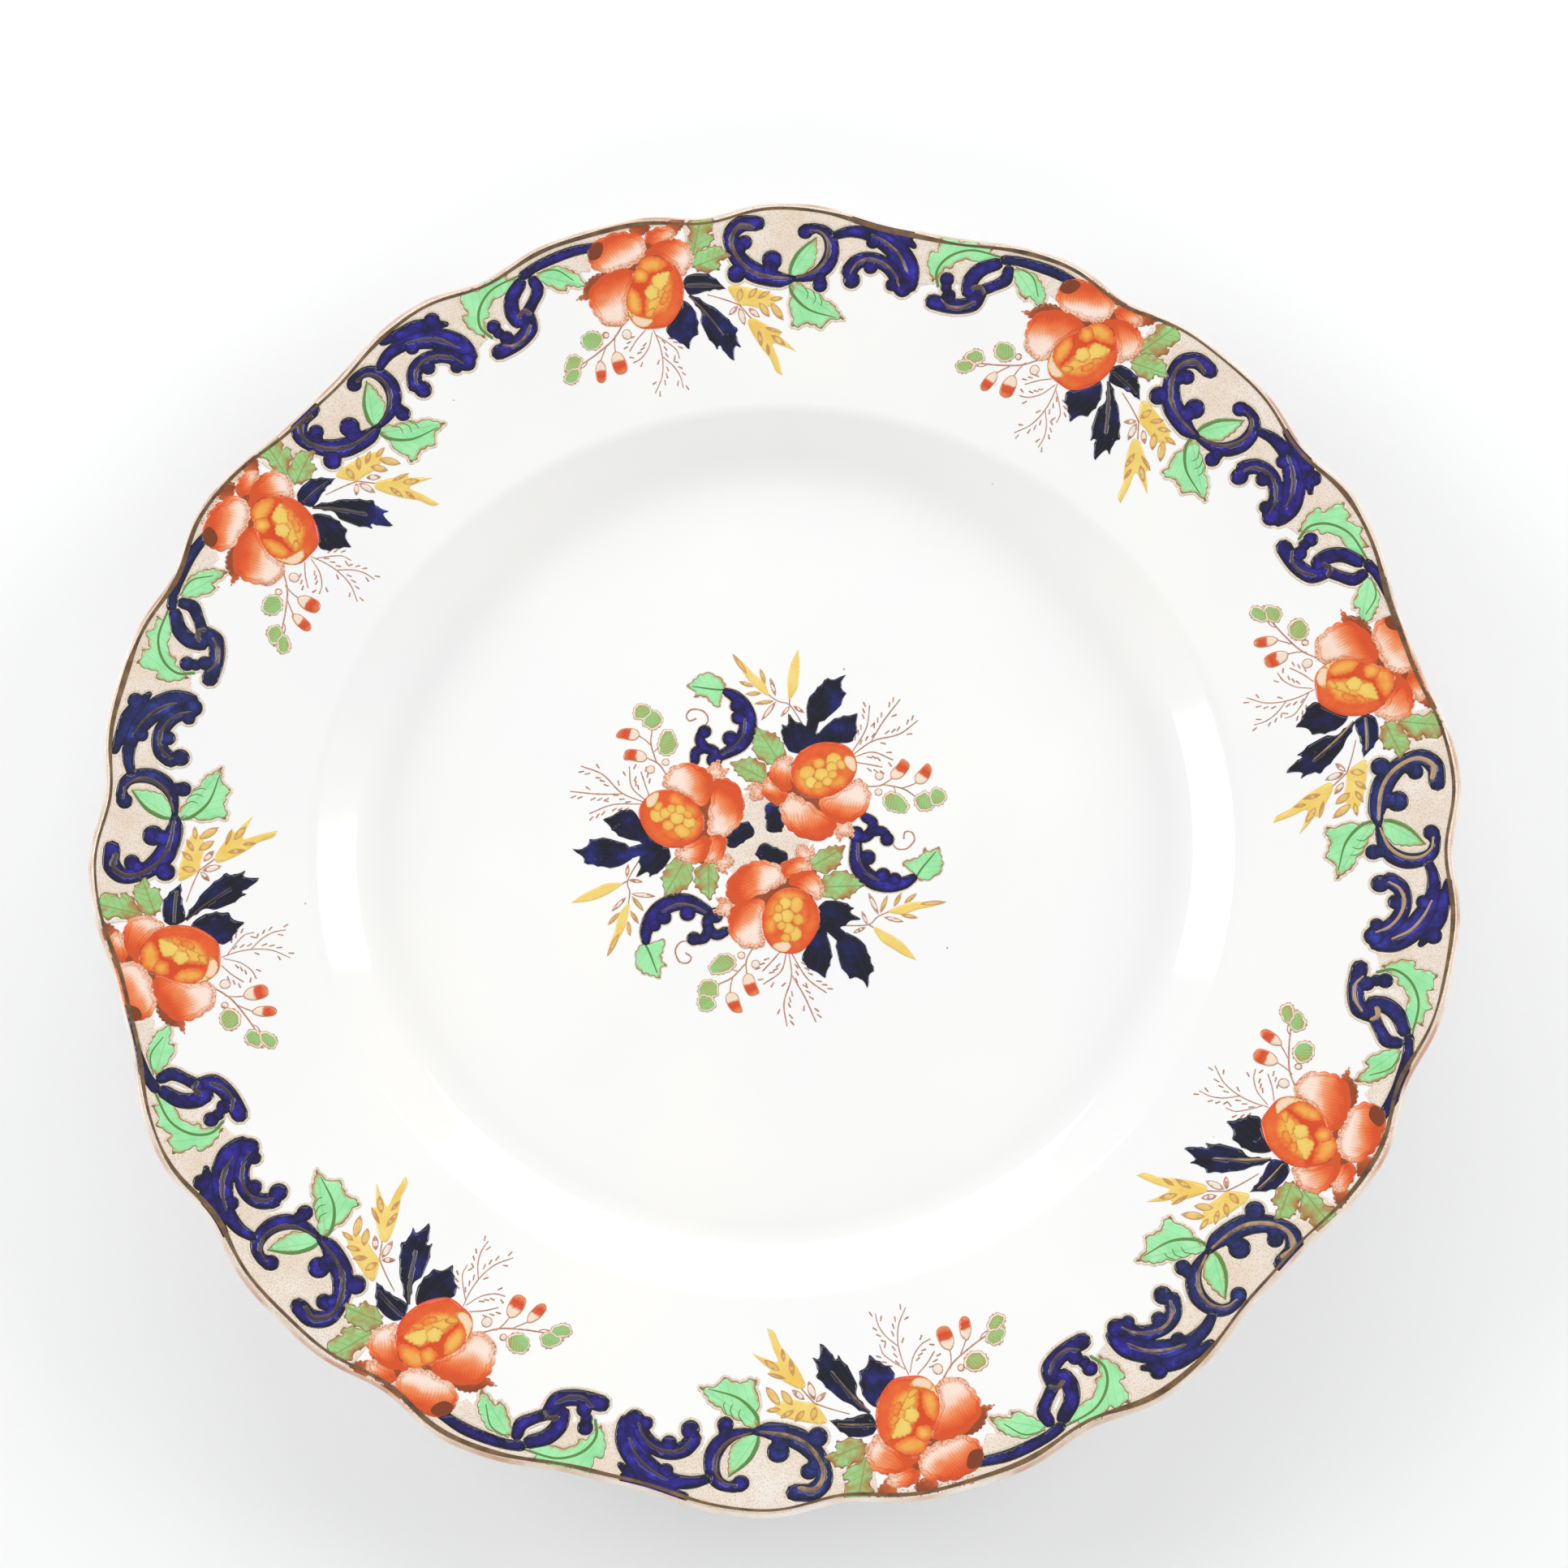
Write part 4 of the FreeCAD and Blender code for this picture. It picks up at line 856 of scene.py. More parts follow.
BUD_LEAVES = [
    ([(-1.9, 110.8), (-0.8, 112.2), (1.4, 112.4), (3, 111.2), (2.8, 109.4), (0.8, 108.4), (-1.2, 109.2)],
     ((2.8, 109.2), (-1.8, 111.4))),
    ([(-7.6, 106.4), (-6.8, 108), (-5.4, 109.2), (-3.6, 108.8), (-2.8, 107.4), (-4.2, 106)],
     ((-2.8, 107.2), (-7.4, 107.6))),
    ([(-4, 106.2), (-4.8, 104.4), (-6.6, 103.4), (-8.4, 104), (-8.5, 105.4), (-6.6, 106.4)],
     ((-4, 106), (-8.4, 104.4))),
]
STEMS = [
    [(8.6, 112.2, 0.14), (5.2, 109.4, 0.16), (0.6, 107.6, 0.16), (-3.4, 106.6, 0.14)],
    [(5.9, 110.2, 0.1), (5.2, 108.6, 0.12), (4.8, 106.8, 0.12)],
    [(3, 108.2, 0.1), (2.2, 107.4, 0.12), (1, 106.1, 0.12)],
    [(-1.8, 107, 0.1), (-2.6, 106.2, 0.1), (-3.8, 105.9, 0.1)],
]
BERRIES = [(3.9, 110.7, 0.75), (8.4, 109.6, 1.1)]
FERNS = [
    [(12.6, 109.5, 0.1), (10.2, 108, 0.12), (8, 106.2, 0.12)],
    [(14, 108.8, 0.09), (12.5, 106, 0.11), (10.2, 104.2, 0.12), (8.1, 103.7, 0.12)],
    [(14.4, 109.2, 0.09), (15, 106, 0.12), (14.9, 102.6, 0.12), (13.8, 99.4, 0.12), (11.3, 96.6, 0.1)],
    [(14.8, 108, 0.09), (17, 106, 0.11), (18.6, 104.2, 0.11), (18.9, 102.4, 0.1)],
    [(15.1, 103.4, 0.1), (17.2, 101, 0.12), (18.3, 98.6, 0.12), (18.4, 96.4, 0.1)],
]
SPRIG_STEMS = [
    [(27.4, 114.4, 0.1), (31, 113, 0.12), (34, 111.7, 0.14)],
    [(34, 111.7, 0.14), (38, 112.6, 0.12), (42.4, 112.8, 0.1)],
    [(34, 111.7, 0.14), (36.6, 108.6, 0.14), (40.2, 104.4, 0.12), (42.6, 98.6, 0.1)],
]
LEAF_RIBS = [
    [(44.9, 117.2, 0.26), (45.1, 119.2, 0.4), (46.6, 122.2, 0.36), (49.9, 125.3, 0.16)],
    [(44.8, 116.8, 0.2), (45.3, 114, 0.36), (47.6, 111.5, 0.3), (50.4, 110.1, 0.2), (55.4, 109.2, 0.1)],
    [(48, 115, 0.1), (48.9, 113.8, 0.12), (48.6, 112.6, 0.08)],
    [(49.9, 114.3, 0.1), (50.6, 112.9, 0.12), (50.2, 111.8, 0.08)],
    [(51.3, 113.6, 0.1), (52, 112.2, 0.12), (51.8, 111.4, 0.08)],
    [(75.6, 119, 0.3), (74.6, 122, 0.26), (76.2, 125.4, 0.26), (80, 127.8, 0.22), (85.6, 128.2, 0.2)],
    [(89.2, 127.3, 0.12), (92.8, 126.6, 0.16), (95.4, 123.4, 0.1)],
]
GOLD_SPINES = [
    [(37.4, 127.4, 0.3), (35.2, 127.9, 0.34), (33.6, 126.2, 0.3), (33.3, 124, 0.26), (34.4, 121.2, 0.28),
     (36.6, 118.8, 0.26), (40, 117.3, 0.22), (44.6, 116.8, 0.16)],
    [(46.4, 117, 0.12), (50.2, 118.6, 0.22), (52.2, 121.2, 0.24), (52.4, 124.2, 0.2), (50.8, 126.4, 0.16),
     (48.6, 126.8, 0.1)],
    [(57.4, 118.8, 0.12), (58.6, 120.8, 0.2), (61, 121.9, 0.22), (64, 121.3, 0.2), (66.4, 119.6, 0.18),
     (67.7, 117.4, 0.1)],
    [(60.6, 126.9, 0.1), (63.6, 125.7, 0.18), (66.6, 123.6, 0.2), (68.6, 120.6, 0.12)],
    [(77, 116.6, 0.1), (79, 115.6, 0.2), (81.8, 116.2, 0.22), (83.8, 118, 0.16)],
    [(82.6, 120.6, 0.3), (84, 121.2, 0.34), (85, 120.2, 0.2)],
]
LEAF_SPINES = [
    [(23.4, 114.6, 0.14), (26.2, 111.2, 0.26), (29.8, 106, 0.14)],
    [(23.2, 117, 0.1), (26.6, 116.6, 0.2), (29.8, 116, 0.1)],
]


def strip(points):
    """Strip coordinates to x and y, for the repeat that starts at the top of the plate."""
    points = np.asarray(points, float)
    turn = math.radians(FIRST_REPEAT) + points[..., 0] / STRIP_RADIUS
    return np.stack((points[..., 1] * np.sin(turn), points[..., 1] * np.cos(turn)), -1)


def as_drawn(points):
    return np.asarray(points, float)


def leaflet(root, tip, half):
    """A lens-shaped outline from root to tip."""
    root, tip = np.array(root, float), np.array(tip, float)
    across = np.array((-(tip - root)[1], (tip - root)[0])) / np.linalg.norm(tip - root) * half
    one_side = [(root + (tip - root) * t, across * w) for t, w in ((0.22, 0.75), (0.5, 1.0), (0.78, 0.7))]
    return outline([(*root, 1), *(tuple(m - a) for m, a in one_side), (*tip, 1),
                    *(tuple(m + a) for m, a in one_side[::-1])], 0.4)


def dashes(path, side, gap=1.3, length=0.95, stand=0.85):
    """The short strokes that stand off a fern's stem, most of them on one side of it."""
    line = spline([p[:2] for p in path], 0.1, False)
    run = np.concatenate(([0], np.cumsum(np.linalg.norm(np.diff(line, axis=0), axis=1))))

    def at_run(distance):
        return np.array([np.interp(distance, run, line[:, i]) for i in (0, 1)])

    marks = []
    for n in range(2, int(run[-1] / gap) + 1):
        at, on, back = at_run(n * gap), at_run(n * gap + 0.2), at_run(n * gap - 0.2)
        along = (on - back) / max(np.linalg.norm(on - back), 1e-6)
        out = np.array((-along[1], along[0])) * (-side if n % 4 == 1 else side)
        root = at + out * stand
        marks.append([(*root, 0.13), (*(root + (along * 0.8 + out * 0.45) * length), 0.17)])
    return marks


def fern_dashes(paths):
    return [mark for n, path in enumerate(paths) for mark in dashes(path, -1 if n < 2 else 1)]


def motif(place, **data):
    """All the painted shapes of one motif, back to front, in x and y."""
    shapes = []

    def add(piece, loop, tone=0.0, axis=None):
        shapes.append(Shape(piece, anticlockwise(place(loop)), tone, None if axis is None else place(axis)))

    def ruffled_kind(kind, points, growth=0.0):
        return ruffled(grown(outline(points), growth), *RUFFLES[kind])

    leaves = [(ruffled_kind("scroll_leaves", points), axis) for points, axis in data["scroll_leaves"]]
    rolls = {name: [stroke(s) for s in strokes] + [blob(a, b, w, w) for a, b, w in knobs]
             for name, (strokes, knobs) in data["scrolls"].items()}
    for loop in data["ground"]:
        add("ground", loop)
    for loop in [x for x, _ in leaves] + [x for loops in rolls.values() for x in loops]:
        add("ground", grown(loop, data["halo"]), 1.0)
    for piece, strokes in data["fine"]:
        for points in strokes:
            add(piece, stroke(points, 0.8))
    for a, b, w in data["berries"]:
        add("stems", blob(a, b, w, w, 0, 12), 1.0)
    for loop, axis in leaves:
        add("scroll_leaves", loop, 0.0, axis)
    for points in data["leaf_ribs"]:
        add("scroll_leaves", stroke(points), 1.0)
    for name, loops in rolls.items():
        for loop in loops:
            add(name, loop)
    for points in data["spines"]:
        add("spines", stroke([(x, y, SPINE_WIDENING * w) for x, y, w in points]))
    for points, axis in data["bud_leaves"]:
        add("bud_leaves", ruffled_kind("bud_leaves", points), 0.0, axis)
    for points, axis in data["buds"]:
        add("buds", outline(points), 0.0, axis)
    for points in data["sprigs"]:
        add("sprigs", outline(points))
    for root, tip, half in data["leaflets"]:
        add("sprigs", leaflet(root, tip, half), 1.0, (root, tip))
    for root, tip, half in data["bare_leaflets"]:
        add("stems", leaflet(root, tip, half), 1.0)
    for points, axis in data["rose_leaves"]:
        add("rose_leaves", ruffled_kind("rose_leaves", points, ROSE_LEAF_GROWTH), 0.0, axis)
    for points, axis in data["cobalt_leaves"]:
        add("cobalt_leaves", ruffled_kind("cobalt_leaves", points), 0.0, axis)
    for points in data["leaf_stalks"]:
        add("cobalt_leaves", stroke(points), 0.0, (points[0][:2], points[-1][:2]))
    for points in data["leaf_spines"]:
        add("spines", stroke(points))
    for points in data["sepals"]:
        add("petals", ruffled_kind("sepals", points), SEPAL_TONE, (points[0][:2], points[2][:2]))
    for points in data["pale_sepals"]:
        # A long axis keeps the whole sepal at its pale foot.
        root, tip = np.array(points[0][:2]), np.array(points[2][:2])
        add("petals", ruffled_kind("sepals", points), 0.0, (root, root + 9 * (tip - root)))
    for points, axis, tone in data["petals"]:
        add("petals", ruffled_kind("petals", points), tone, axis)
    for points in data["blots"]:
        add("petals", outline(points), 1.0)
    for points, tone, ruffle in data["heart"]:
        add("hearts", ruffled(outline(points, 0.4), ruffle, LOBE_PITCH), tone)
    return shapes


border_shapes = motif(
    strip, ground=[outline([(*p, 1) for p in GROUND], 1.5)], scroll_leaves=SCROLL_LEAVES, scrolls=SCROLLS,
    fine=[("stems", STEMS), ("ferns", FERNS), ("ferns", fern_dashes(FERNS)), ("stems", SPRIG_STEMS)],
    berries=BERRIES, leaf_ribs=LEAF_RIBS, spines=GOLD_SPINES, leaf_spines=LEAF_SPINES, leaf_stalks=[],
    bud_leaves=BUD_LEAVES, buds=BUDS, sprigs=SPRIGS, leaflets=LEAFLETS, bare_leaflets=BARE_LEAFLETS,
    rose_leaves=ROSE_LEAVES, cobalt_leaves=COBALT_LEAVES, sepals=SEPALS, pale_sepals=[], halo=0.55,
    petals=PETALS, blots=BLOTS, heart=HEART)


# ---------------------------------------------------------------- bouquet, one arm

# The yellow lobes in the heart of the rose, back to front: centre, half sizes, tone.
ARM_HEART_LOBES = [(6.9, -14.2, 1.4, 1.7, 0.7), (7.3, -17.2, 1.2, 1.3, 0.66), (6.5, -20.1, 1.5, 1.6, 0.72),
                   (4.7, -13.9, 1.3, 1.3, 0.82), (5.1, -16.5, 1.4, 1.4, 0.8), (5.4, -19, 1.2, 1.2, 0.74),
                   (4.9, -20.9, 1.1, 0.9, 0.68), (3.4, -14.9, 0.9, 1.1, 0.66), (3.3, -16.8, 1, 1.1, 0.78),
                   (4, -18.4, 0.9, 1, 0.7)]
ARM = dict(
    ground=[blob(0, 0, 9.5, 9.5, 0, 40)],
    scroll_leaves=[
        ([(30.3, -8.9), (29.6, -7.5), (27.8, -6.2), (28.8, -5.2), (30.6, -4.8), (31.6, -4), (32.2, -2.6, 1),
          (33, -3.6), (34.8, -2.4, 1), (35.3, -4.6), (35.6, -6.4), (34.6, -8.2), (32.4, -9.3)],
         ((30, -8.8), (34.4, -3.2))),
    ],
    scrolls={
        "scrolls": (
            [
                [(18.7, -0.4, 1), (18.6, -3, 1.3), (18.9, -5.6, 1.7), (20.2, -7.9, 1.8), (22.6, -9.6, 1.8),
                 (25.4, -10.2, 1.6), (28, -9.8, 1.3), (29.8, -8.8, 0.9)],
                [(18.5, 0.2, 1.3), (20.2, -0.4, 1.2), (21.7, 0.9, 1.1), (21.8, 2.7, 1.1), (20.4, 3.7, 1)],
                [(21.4, 0.6, 1), (23.6, 0.8, 1.1), (25, -0.6, 0.9)],
            ],
            [(18.6, 0.3, 1.6), (24.7, -0.9, 1.4), (20.9, -4.6, 1.6), (23.9, -8.2, 1.5), (26.2, -9, 1.3)],
        ),
    },
    fine=[
        ("stems",
         [[(-1.4, -22.6, 0.12), (-2.8, -25.4, 0.15), (-2.7, -28.2, 0.12)],
          [(-2.9, -26, 0.12), (-5.6, -28.9, 0.15), (-8.2, -30.2, 0.12)],
          [(-5.4, -28.8, 0.1), (-5.8, -30.4, 0.12), (-5.9, -31.9, 0.1)],
          [(-4.4, -27.6, 0.1), (-6.4, -27, 0.12)],
          [(16, -18.5, 0.12), (21, -18.3, 0.12), (23, -16.6, 0.12), (27, -15.2, 0.12), (34, -14, 0.1)],
          [(21.2, -18.4, 0.12), (24.4, -20.4, 0.12), (29.4, -24.6, 0.1)],
          [(25.6, -1.4, 0.1), (26.6, -2.8, 0.16), (28.6, -2.8, 0.16), (30.1, -1, 0.18), (29.5, 0.6, 0.16),
           (28.2, 0.6, 0.16), (28, -0.7, 0.2)]]),
    ],
    berries=[(-3.8, -24.4, 0.8), (-1, -26.2, 0.9)],
    leaf_ribs=[[(30.2, -9, 0.2), (31.6, -6.8, 0.2), (34.2, -3.6, 0.12)]],
    spines=[[(18.9, -1.6, 0.1), (19, -4.4, 0.14), (20.4, -7.4, 0.14), (23, -9.2, 0.1)]],
    bud_leaves=[
        ([(-9, -25), (-7.4, -23.9), (-5.2, -24.6), (-4.9, -26.6), (-6.8, -28), (-9.4, -28.2),
          (-10.2, -26.8)], ((-5, -26.4), (-10, -26.2))),
        ([(-12.1, -30.6), (-10.6, -29.2), (-8.4, -29.9), (-8.2, -32.4), (-9.8, -32.9), (-12, -32.4)],
         ((-8.4, -30.4), (-12.2, -31.4))),
        ([(-9.4, -32.6), (-11.8, -32.4), (-12.3, -34.4), (-10.8, -35.8), (-8.7, -34.8)],
         ((-8.6, -32.4), (-11.8, -35.2))),
    ],
    buds=[
        ([(-2.6, -28), (-1.4, -28.6), (-0.7, -30.6), (-0.2, -32), (-2, -32.6), (-3.1, -31.2),
          (-3.5, -29.2)], ((-2.6, -28), (-1, -32.4))),
        ([(-6, -31.8), (-4.6, -32.2), (-3.9, -34), (-3.5, -35.8), (-5.2, -35.8), (-6.4, -34.4),
          (-6.8, -32.8)], ((-6, -31.8), (-4.4, -36))),
    ],
    sprigs=[
        [(24.8, -15.6), (26.8, -14.6), (29.6, -13.8), (33, -13.7), (36, -13.7, 1), (33.6, -14.7),
         (30.6, -15.3), (28, -16.2), (26, -16.1)],
        [(22, -18.8), (24, -19.6), (26.4, -21), (28.4, -22.8), (30.4, -25.6, 1), (28, -24.6), (25.6, -23.1),
         (23.8, -21.9), (22.8, -20.6)],
    ],
    leaflets=[
        ((23.3, -16), (24.8, -12.3), 0.45),
        ((26, -14.7), (27.5, -11.8), 0.45),
        ((28, -14), (30.5, -12), 0.45),
        ((31, -14.2), (36.3, -13.8), 0.5),
        ((27.3, -16.3), (30.7, -17), 0.45),
    ],
    bare_leaflets=[
        ((23, -16.3), (21, -11.8), 0.5),
        ((20.8, -18.3), (19.7, -15.5), 0.4),
        ((20.5, -18.8), (18, -20), 0.4),
        ((24, -16.8), (28, -17.8), 0.45),
    ],
    rose_leaves=[
        ([(9.6, -5.6), (10.6, -4.2), (12.2, -3), (14, -2.4), (16.4, -2.4, 1), (15.6, -4.2), (15.2, -6),
          (13.6, -7.1), (12, -7.6), (10.4, -6.8)], ((9.8, -6.4), (16.2, -2.6))),
        ([(12, -9), (14.4, -7.7), (16.4, -7.5), (18.2, -8.7), (20, -10.4, 1), (18, -11.6), (17.4, -12.6, 1),
          (15, -12.9), (12.8, -12.5), (11.8, -11)], ((12, -10.6), (19.6, -10.4))),
    ],
    cobalt_leaves=[
        ([(11.4, -14.4), (12.6, -13.5), (15, -13.3), (16.8, -14), (18.2, -14.9, 1), (17.6, -15.7),
          (19.4, -17.2, 1), (17.6, -17.6), (16.2, -18.6), (14.6, -19.2), (13, -18.4), (11.6, -16.6)],
         ((11.4, -15.6), (19, -17))),
        ([(15, -20.2), (16.8, -20), (19, -20.9), (20.6, -23), (21.5, -25.4), (22.2, -27.8, 1),
          (21.2, -28.6), (20.8, -31.2, 1), (19.4, -29.2), (17.4, -29.2, 1), (16.2, -27.6), (15.2, -25.6),
          (14.7, -22.8)], ((15.4, -20.4), (20.6, -30.4))),
        ([(11.3, -19.4), (12.8, -20.4), (13.8, -22.8), (13.8, -25.4), (12.6, -29, 1), (11.2, -28),
          (10, -27.6, 1), (8.8, -26.5), (8, -24.6), (9, -22.6), (10, -20.8)],
         ((11.4, -19.8), (12.2, -28.4))),
        ([(-1.2, -3.4), (0.4, -1.6), (2.8, -2.4), (4.7, -3.4), (5, -5), (3.4, -6.4), (1.2, -5.5),
          (-0.4, -4.9)], ((-0.8, -3), (4.6, -5))),
    ],
    blots=[],
    leaf_spines=[],
    leaf_stalks=[
        [(11.6, -16.8, 0.9), (13.6, -18.8, 1.1), (15.6, -20.6, 1.2)],
        [(12.2, -17.8, 0.8), (12, -20.2, 1)],
    ],
    sepals=[
        [(-5.6, -15.4), (-4.4, -13), (0, -10.8), (3.6, -7.4), (6, -6.4), (10.6, -7.4), (10.8, -12),
         (6, -16), (0.4, -18), (-3, -16.6)],
    ],
    pale_sepals=[
        [(7, -4.8), (6.8, -2.6), (8, -1.8, 1), (9.4, -2.6), (10.2, -1.8, 1), (10.4, -4), (9, -5.6)],
        [(-5.4, -16.4), (-7.6, -16.4), (-9.6, -15.4, 1), (-8.4, -14.2), (-8.8, -12.6, 1), (-6.8, -12.8),
         (-5.2, -14)],
    ],
    halo=0.25,
    petals=[
        ([(-6.6, -12.6), (-6.9, -10.4), (-5.6, -7.8), (-3, -5.9), (0, -5.1), (3, -5.8), (4.6, -7.6),
          (4.8, -9.4), (3, -10.6), (0, -12), (-3, -13.2), (-5, -14)], ((3, -9.6), (-5.4, -7.6)), 0),
        ([(-6.2, -16), (-6.4, -18.6), (-5.2, -21.4), (-3.2, -22.9), (0.2, -22.8), (0.8, -20.4), (0.4, -17),
          (0.8, -14.2), (-0.6, -12.8), (-3, -13.2), (-5.2, -14.2)], ((-0.6, -19.6), (-6, -14.6)), 0),
        ([(3.8, -6.2), (5.4, -4.8), (7.6, -4.5), (9.6, -5.6), (10.6, -7), (9, -7.6), (6.6, -8), (5, -9)],
         ((8.6, -7), (4.6, -4.8)), 0.1),
        ([(5.6, -8.4), (7.6, -7.4), (10.2, -7.5), (11.8, -9.2), (12.1, -11.6), (11.2, -13.4), (9.4, -12),
          (7.4, -10.8), (5.8, -10.2)], ((11, -12), (7, -7.2)), 0),
    ],
    heart=[
        ([(0.4, -15.4), (2, -12.4), (4.6, -10.8), (7.6, -11), (10, -12.8), (11.4, -15.6), (11.2, -19),
          (9.6, -22), (7.4, -23.9), (4.6, -24), (2.4, -23), (0.8, -20.8), (0.2, -18)], 0.16, 0),
        ([(2.4, -22.2), (4.8, -21.6), (6, -22.6), (4.8, -23.8), (2.8, -23.2)], 1, 0),
        ([(2.6, -12.6), (4.8, -11.1), (7.4, -11.4), (8.6, -13.2), (6.4, -13.6), (4.4, -13.9)], 0.44, 0.3),
        ([(0.9, -15.6), (1.9, -13.2), (3.8, -13.2), (4.2, -15), (3, -16.4), (1.4, -17)], 0.42, 0.25),
        ([(0.8, -17.2), (2.6, -16.4), (3.4, -18), (3, -20), (1.6, -20.4), (0.7, -19.2)], 0.46, 0.25),
        ([(7.6, -13.4), (9.2, -13.8), (9.6, -16.2), (8.8, -18.6), (7.4, -18.2), (7.2, -15.8)], 0.3, 0.3),
    ] + [(blob(x, y, half_x, half_y, 0, 10), tone, 0.12) for x, y, half_x, half_y, tone in ARM_HEART_LOBES],
)
ARM_FERNS = [
    [(3.9, -23.6, 0.1), (2.2, -25.6, 0.13), (0.4, -27.6, 0.13)],
    [(5, -23.8, 0.1), (4, -27.6, 0.13), (0.6, -30.2, 0.13)],
    [(5.5, -23.8, 0.1), (6, -28.8, 0.14), (4.6, -34, 0.14), (5.2, -38.6, 0.12)],
    [(6.2, -28.6, 0.1), (8.6, -32.8, 0.14), (10.8, -37.8, 0.12)],
    [(6, -24, 0.1), (9, -29, 0.13), (12.8, -32, 0.12)],
]
ARM["fine"] += [("ferns", ARM_FERNS), ("ferns", fern_dashes(ARM_FERNS))]
arm_shapes = motif(as_drawn, **ARM)
bouquet_shapes = []
for arm in range(ARMS):
    c, s = math.cos(2 * math.pi * arm / ARMS), math.sin(2 * math.pi * arm / ARMS)
    spin = np.array(((c, s), (-s, c)))
    bouquet_shapes += [Shape(x.piece, x.loop @ spin, x.tone, None if x.axis is None else x.axis @ spin)
                       for x in arm_shapes]
ORDER = ("ground", "stems", "ferns", "scroll_leaves", "scrolls", "spines", "bud_leaves", "buds", "sprigs",
         "rose_leaves", "cobalt_leaves", "petals", "hearts")
bouquet_shapes.sort(key=lambda x: ORDER.index(x.piece))


# ---------------------------------------------------------------- pieces

paints = {
    "ground": ground_paint(),
    "stems": line_paint("rust_line", "#b07558", "#cc9a82"),
    "scroll_leaves": leaf_paint("mint_leaf", "#a8eeb0", "#92e29e", "#5f8a45", "#c6763c", 0.7, 0.2),
    "cobalt": cobalt_paint(),
    "spines": spine_paint(),
    "bud_leaves": bud_leaf_paint(),
    "buds": bud_paint(),
    "sprigs": sprig_paint(),
    "rose_leaves": leaf_paint("rose_leaf", "#98d488", "#a3b46a", "#7f8a44", "#b4622c", 2.0),
    "cobalt_leaves": cobalt_leaf_paint(),
    "petals": petal_paint(),
    "hearts": heart_paint(),
}
paints["ferns"] = paints["stems"]

# Piece, node of the border, node of the bouquet, slot, how far its face stands off the glaze.
KINDS = [
    ("ground", "printed_ground", "centre_ground", "ground_stipple", 0.03),
    ("stems", "berry_stems", "centre_berry_stems", "rust_line", 0.035),
    ("ferns", "fern_sprays", "centre_fern_sprays", "rust_line", 0.035),
    ("scroll_leaves", "scroll_leaves", "centre_scroll_leaves", "leaf_mint", 0.05),
    ("bud_leaves", "bud_leaves", "centre_bud_leaves", "bud_leaf_green", 0.05),
    ("buds", "rose_buds", "centre_rose_buds", "bud_orange", 0.05),
    ("sprigs", "yellow_sprigs", "centre_yellow_sprigs", "sprig_yellow", 0.045),
    ("rose_leaves", "rose_leaves", "centre_rose_leaves", "leaf_olive", 0.06),
    ("cobalt_leaves", "cobalt_leaves", "centre_cobalt_leaves", "cobalt_dark", 0.06),
    ("petals", "rose_petals", "centre_rose_petals", "rose_orange", 0.075),
    ("hearts", "rose_hearts", "centre_rose_hearts", "heart_yellow", 0.075),
]
SCROLL_LIFT = 0.055


def finish_piece(piece, slot, paint, *nodes):
    piece.data.materials.append(paint.material)
    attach(piece, "root")
    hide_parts(*nodes)
    return piece


def cut_out(shapes, spacing, turn, centre):
    """One arrangement of shapes: (owner's piece name for each triangle, and what pads() needs)."""
    flat, triangles, owners = arranged(shapes, spacing)
    names = np.array([shape.piece for shape in shapes])[owners]
    return names, (flat, triangles, corner_values(shapes, flat, triangles, owners), turn, centre)


def laid(arrangements, wanted):
    """Makes each wanted piece: {piece: (object name, lift, slot, paint, nodes)}."""
    for key, (name, lift, slot, paint, nodes) in wanted.items():
        parts = []
        for names, (flat, triangles, values, turn, centre) in arrangements:
            mine = names == key
            if mine.any():
                parts.append((flat, triangles[mine], {k: v[mine] for k, v in values.items()}, turn, centre))
        if parts:
            finish_piece(pads(name, lift, parts), slot, paint, *nodes)


def turned(loop, degrees):
    c, s = math.cos(math.radians(degrees)), math.sin(math.radians(degrees))
    return loop @ np.array(((c, s), (-s, c)))


def border_cut(k):
    """Repeat k of the border, cut back behind the next repeat's rose and inside the edge line."""
    ahead = repeat_turns[(k + 1) % REPEATS] - repeat_turns[k]
    masks = [Shape("next", turned(x.loop, ahead)) for x in border_shapes if x.piece in ("petals", "hearts")]
    clockwise = np.radians(np.arange(FIRST_REPEAT - MASK_REACH[0], FIRST_REPEAT + MASK_REACH[1], 0.3))
    edge = edge_radius(math.pi / 2 - clockwise + math.radians(repeat_turns[k])) - PRINT_LIMIT
    line = np.stack((edge * np.sin(clockwise), edge * np.cos(clockwise)), 1)
    beyond = np.stack((PAST * 1.05 * np.sin(clockwise), PAST * 1.05 * np.cos(clockwise)), 1)[::8]
    masks.append(Shape("outside", anticlockwise(np.vstack((line, beyond[::-1])))))
    return cut_out(border_shapes + masks, BORDER_SPACING, repeat_turns[k], (0.0, 0.0))


def wanted_of(column):
    """What laid() needs for the kinds, with the node from one column of the table."""
    wanted = {}
    for row in KINDS:
        key, slot, lift = row[0], row[3], row[4]
        node = row[column]
        wanted[key] = (node + "_pad", lift, slot, paints[key], [node])
    return wanted


def cobalt_piece(node):
    return node + "_pad", SCROLL_LIFT, "cobalt", paints["cobalt"], [node]


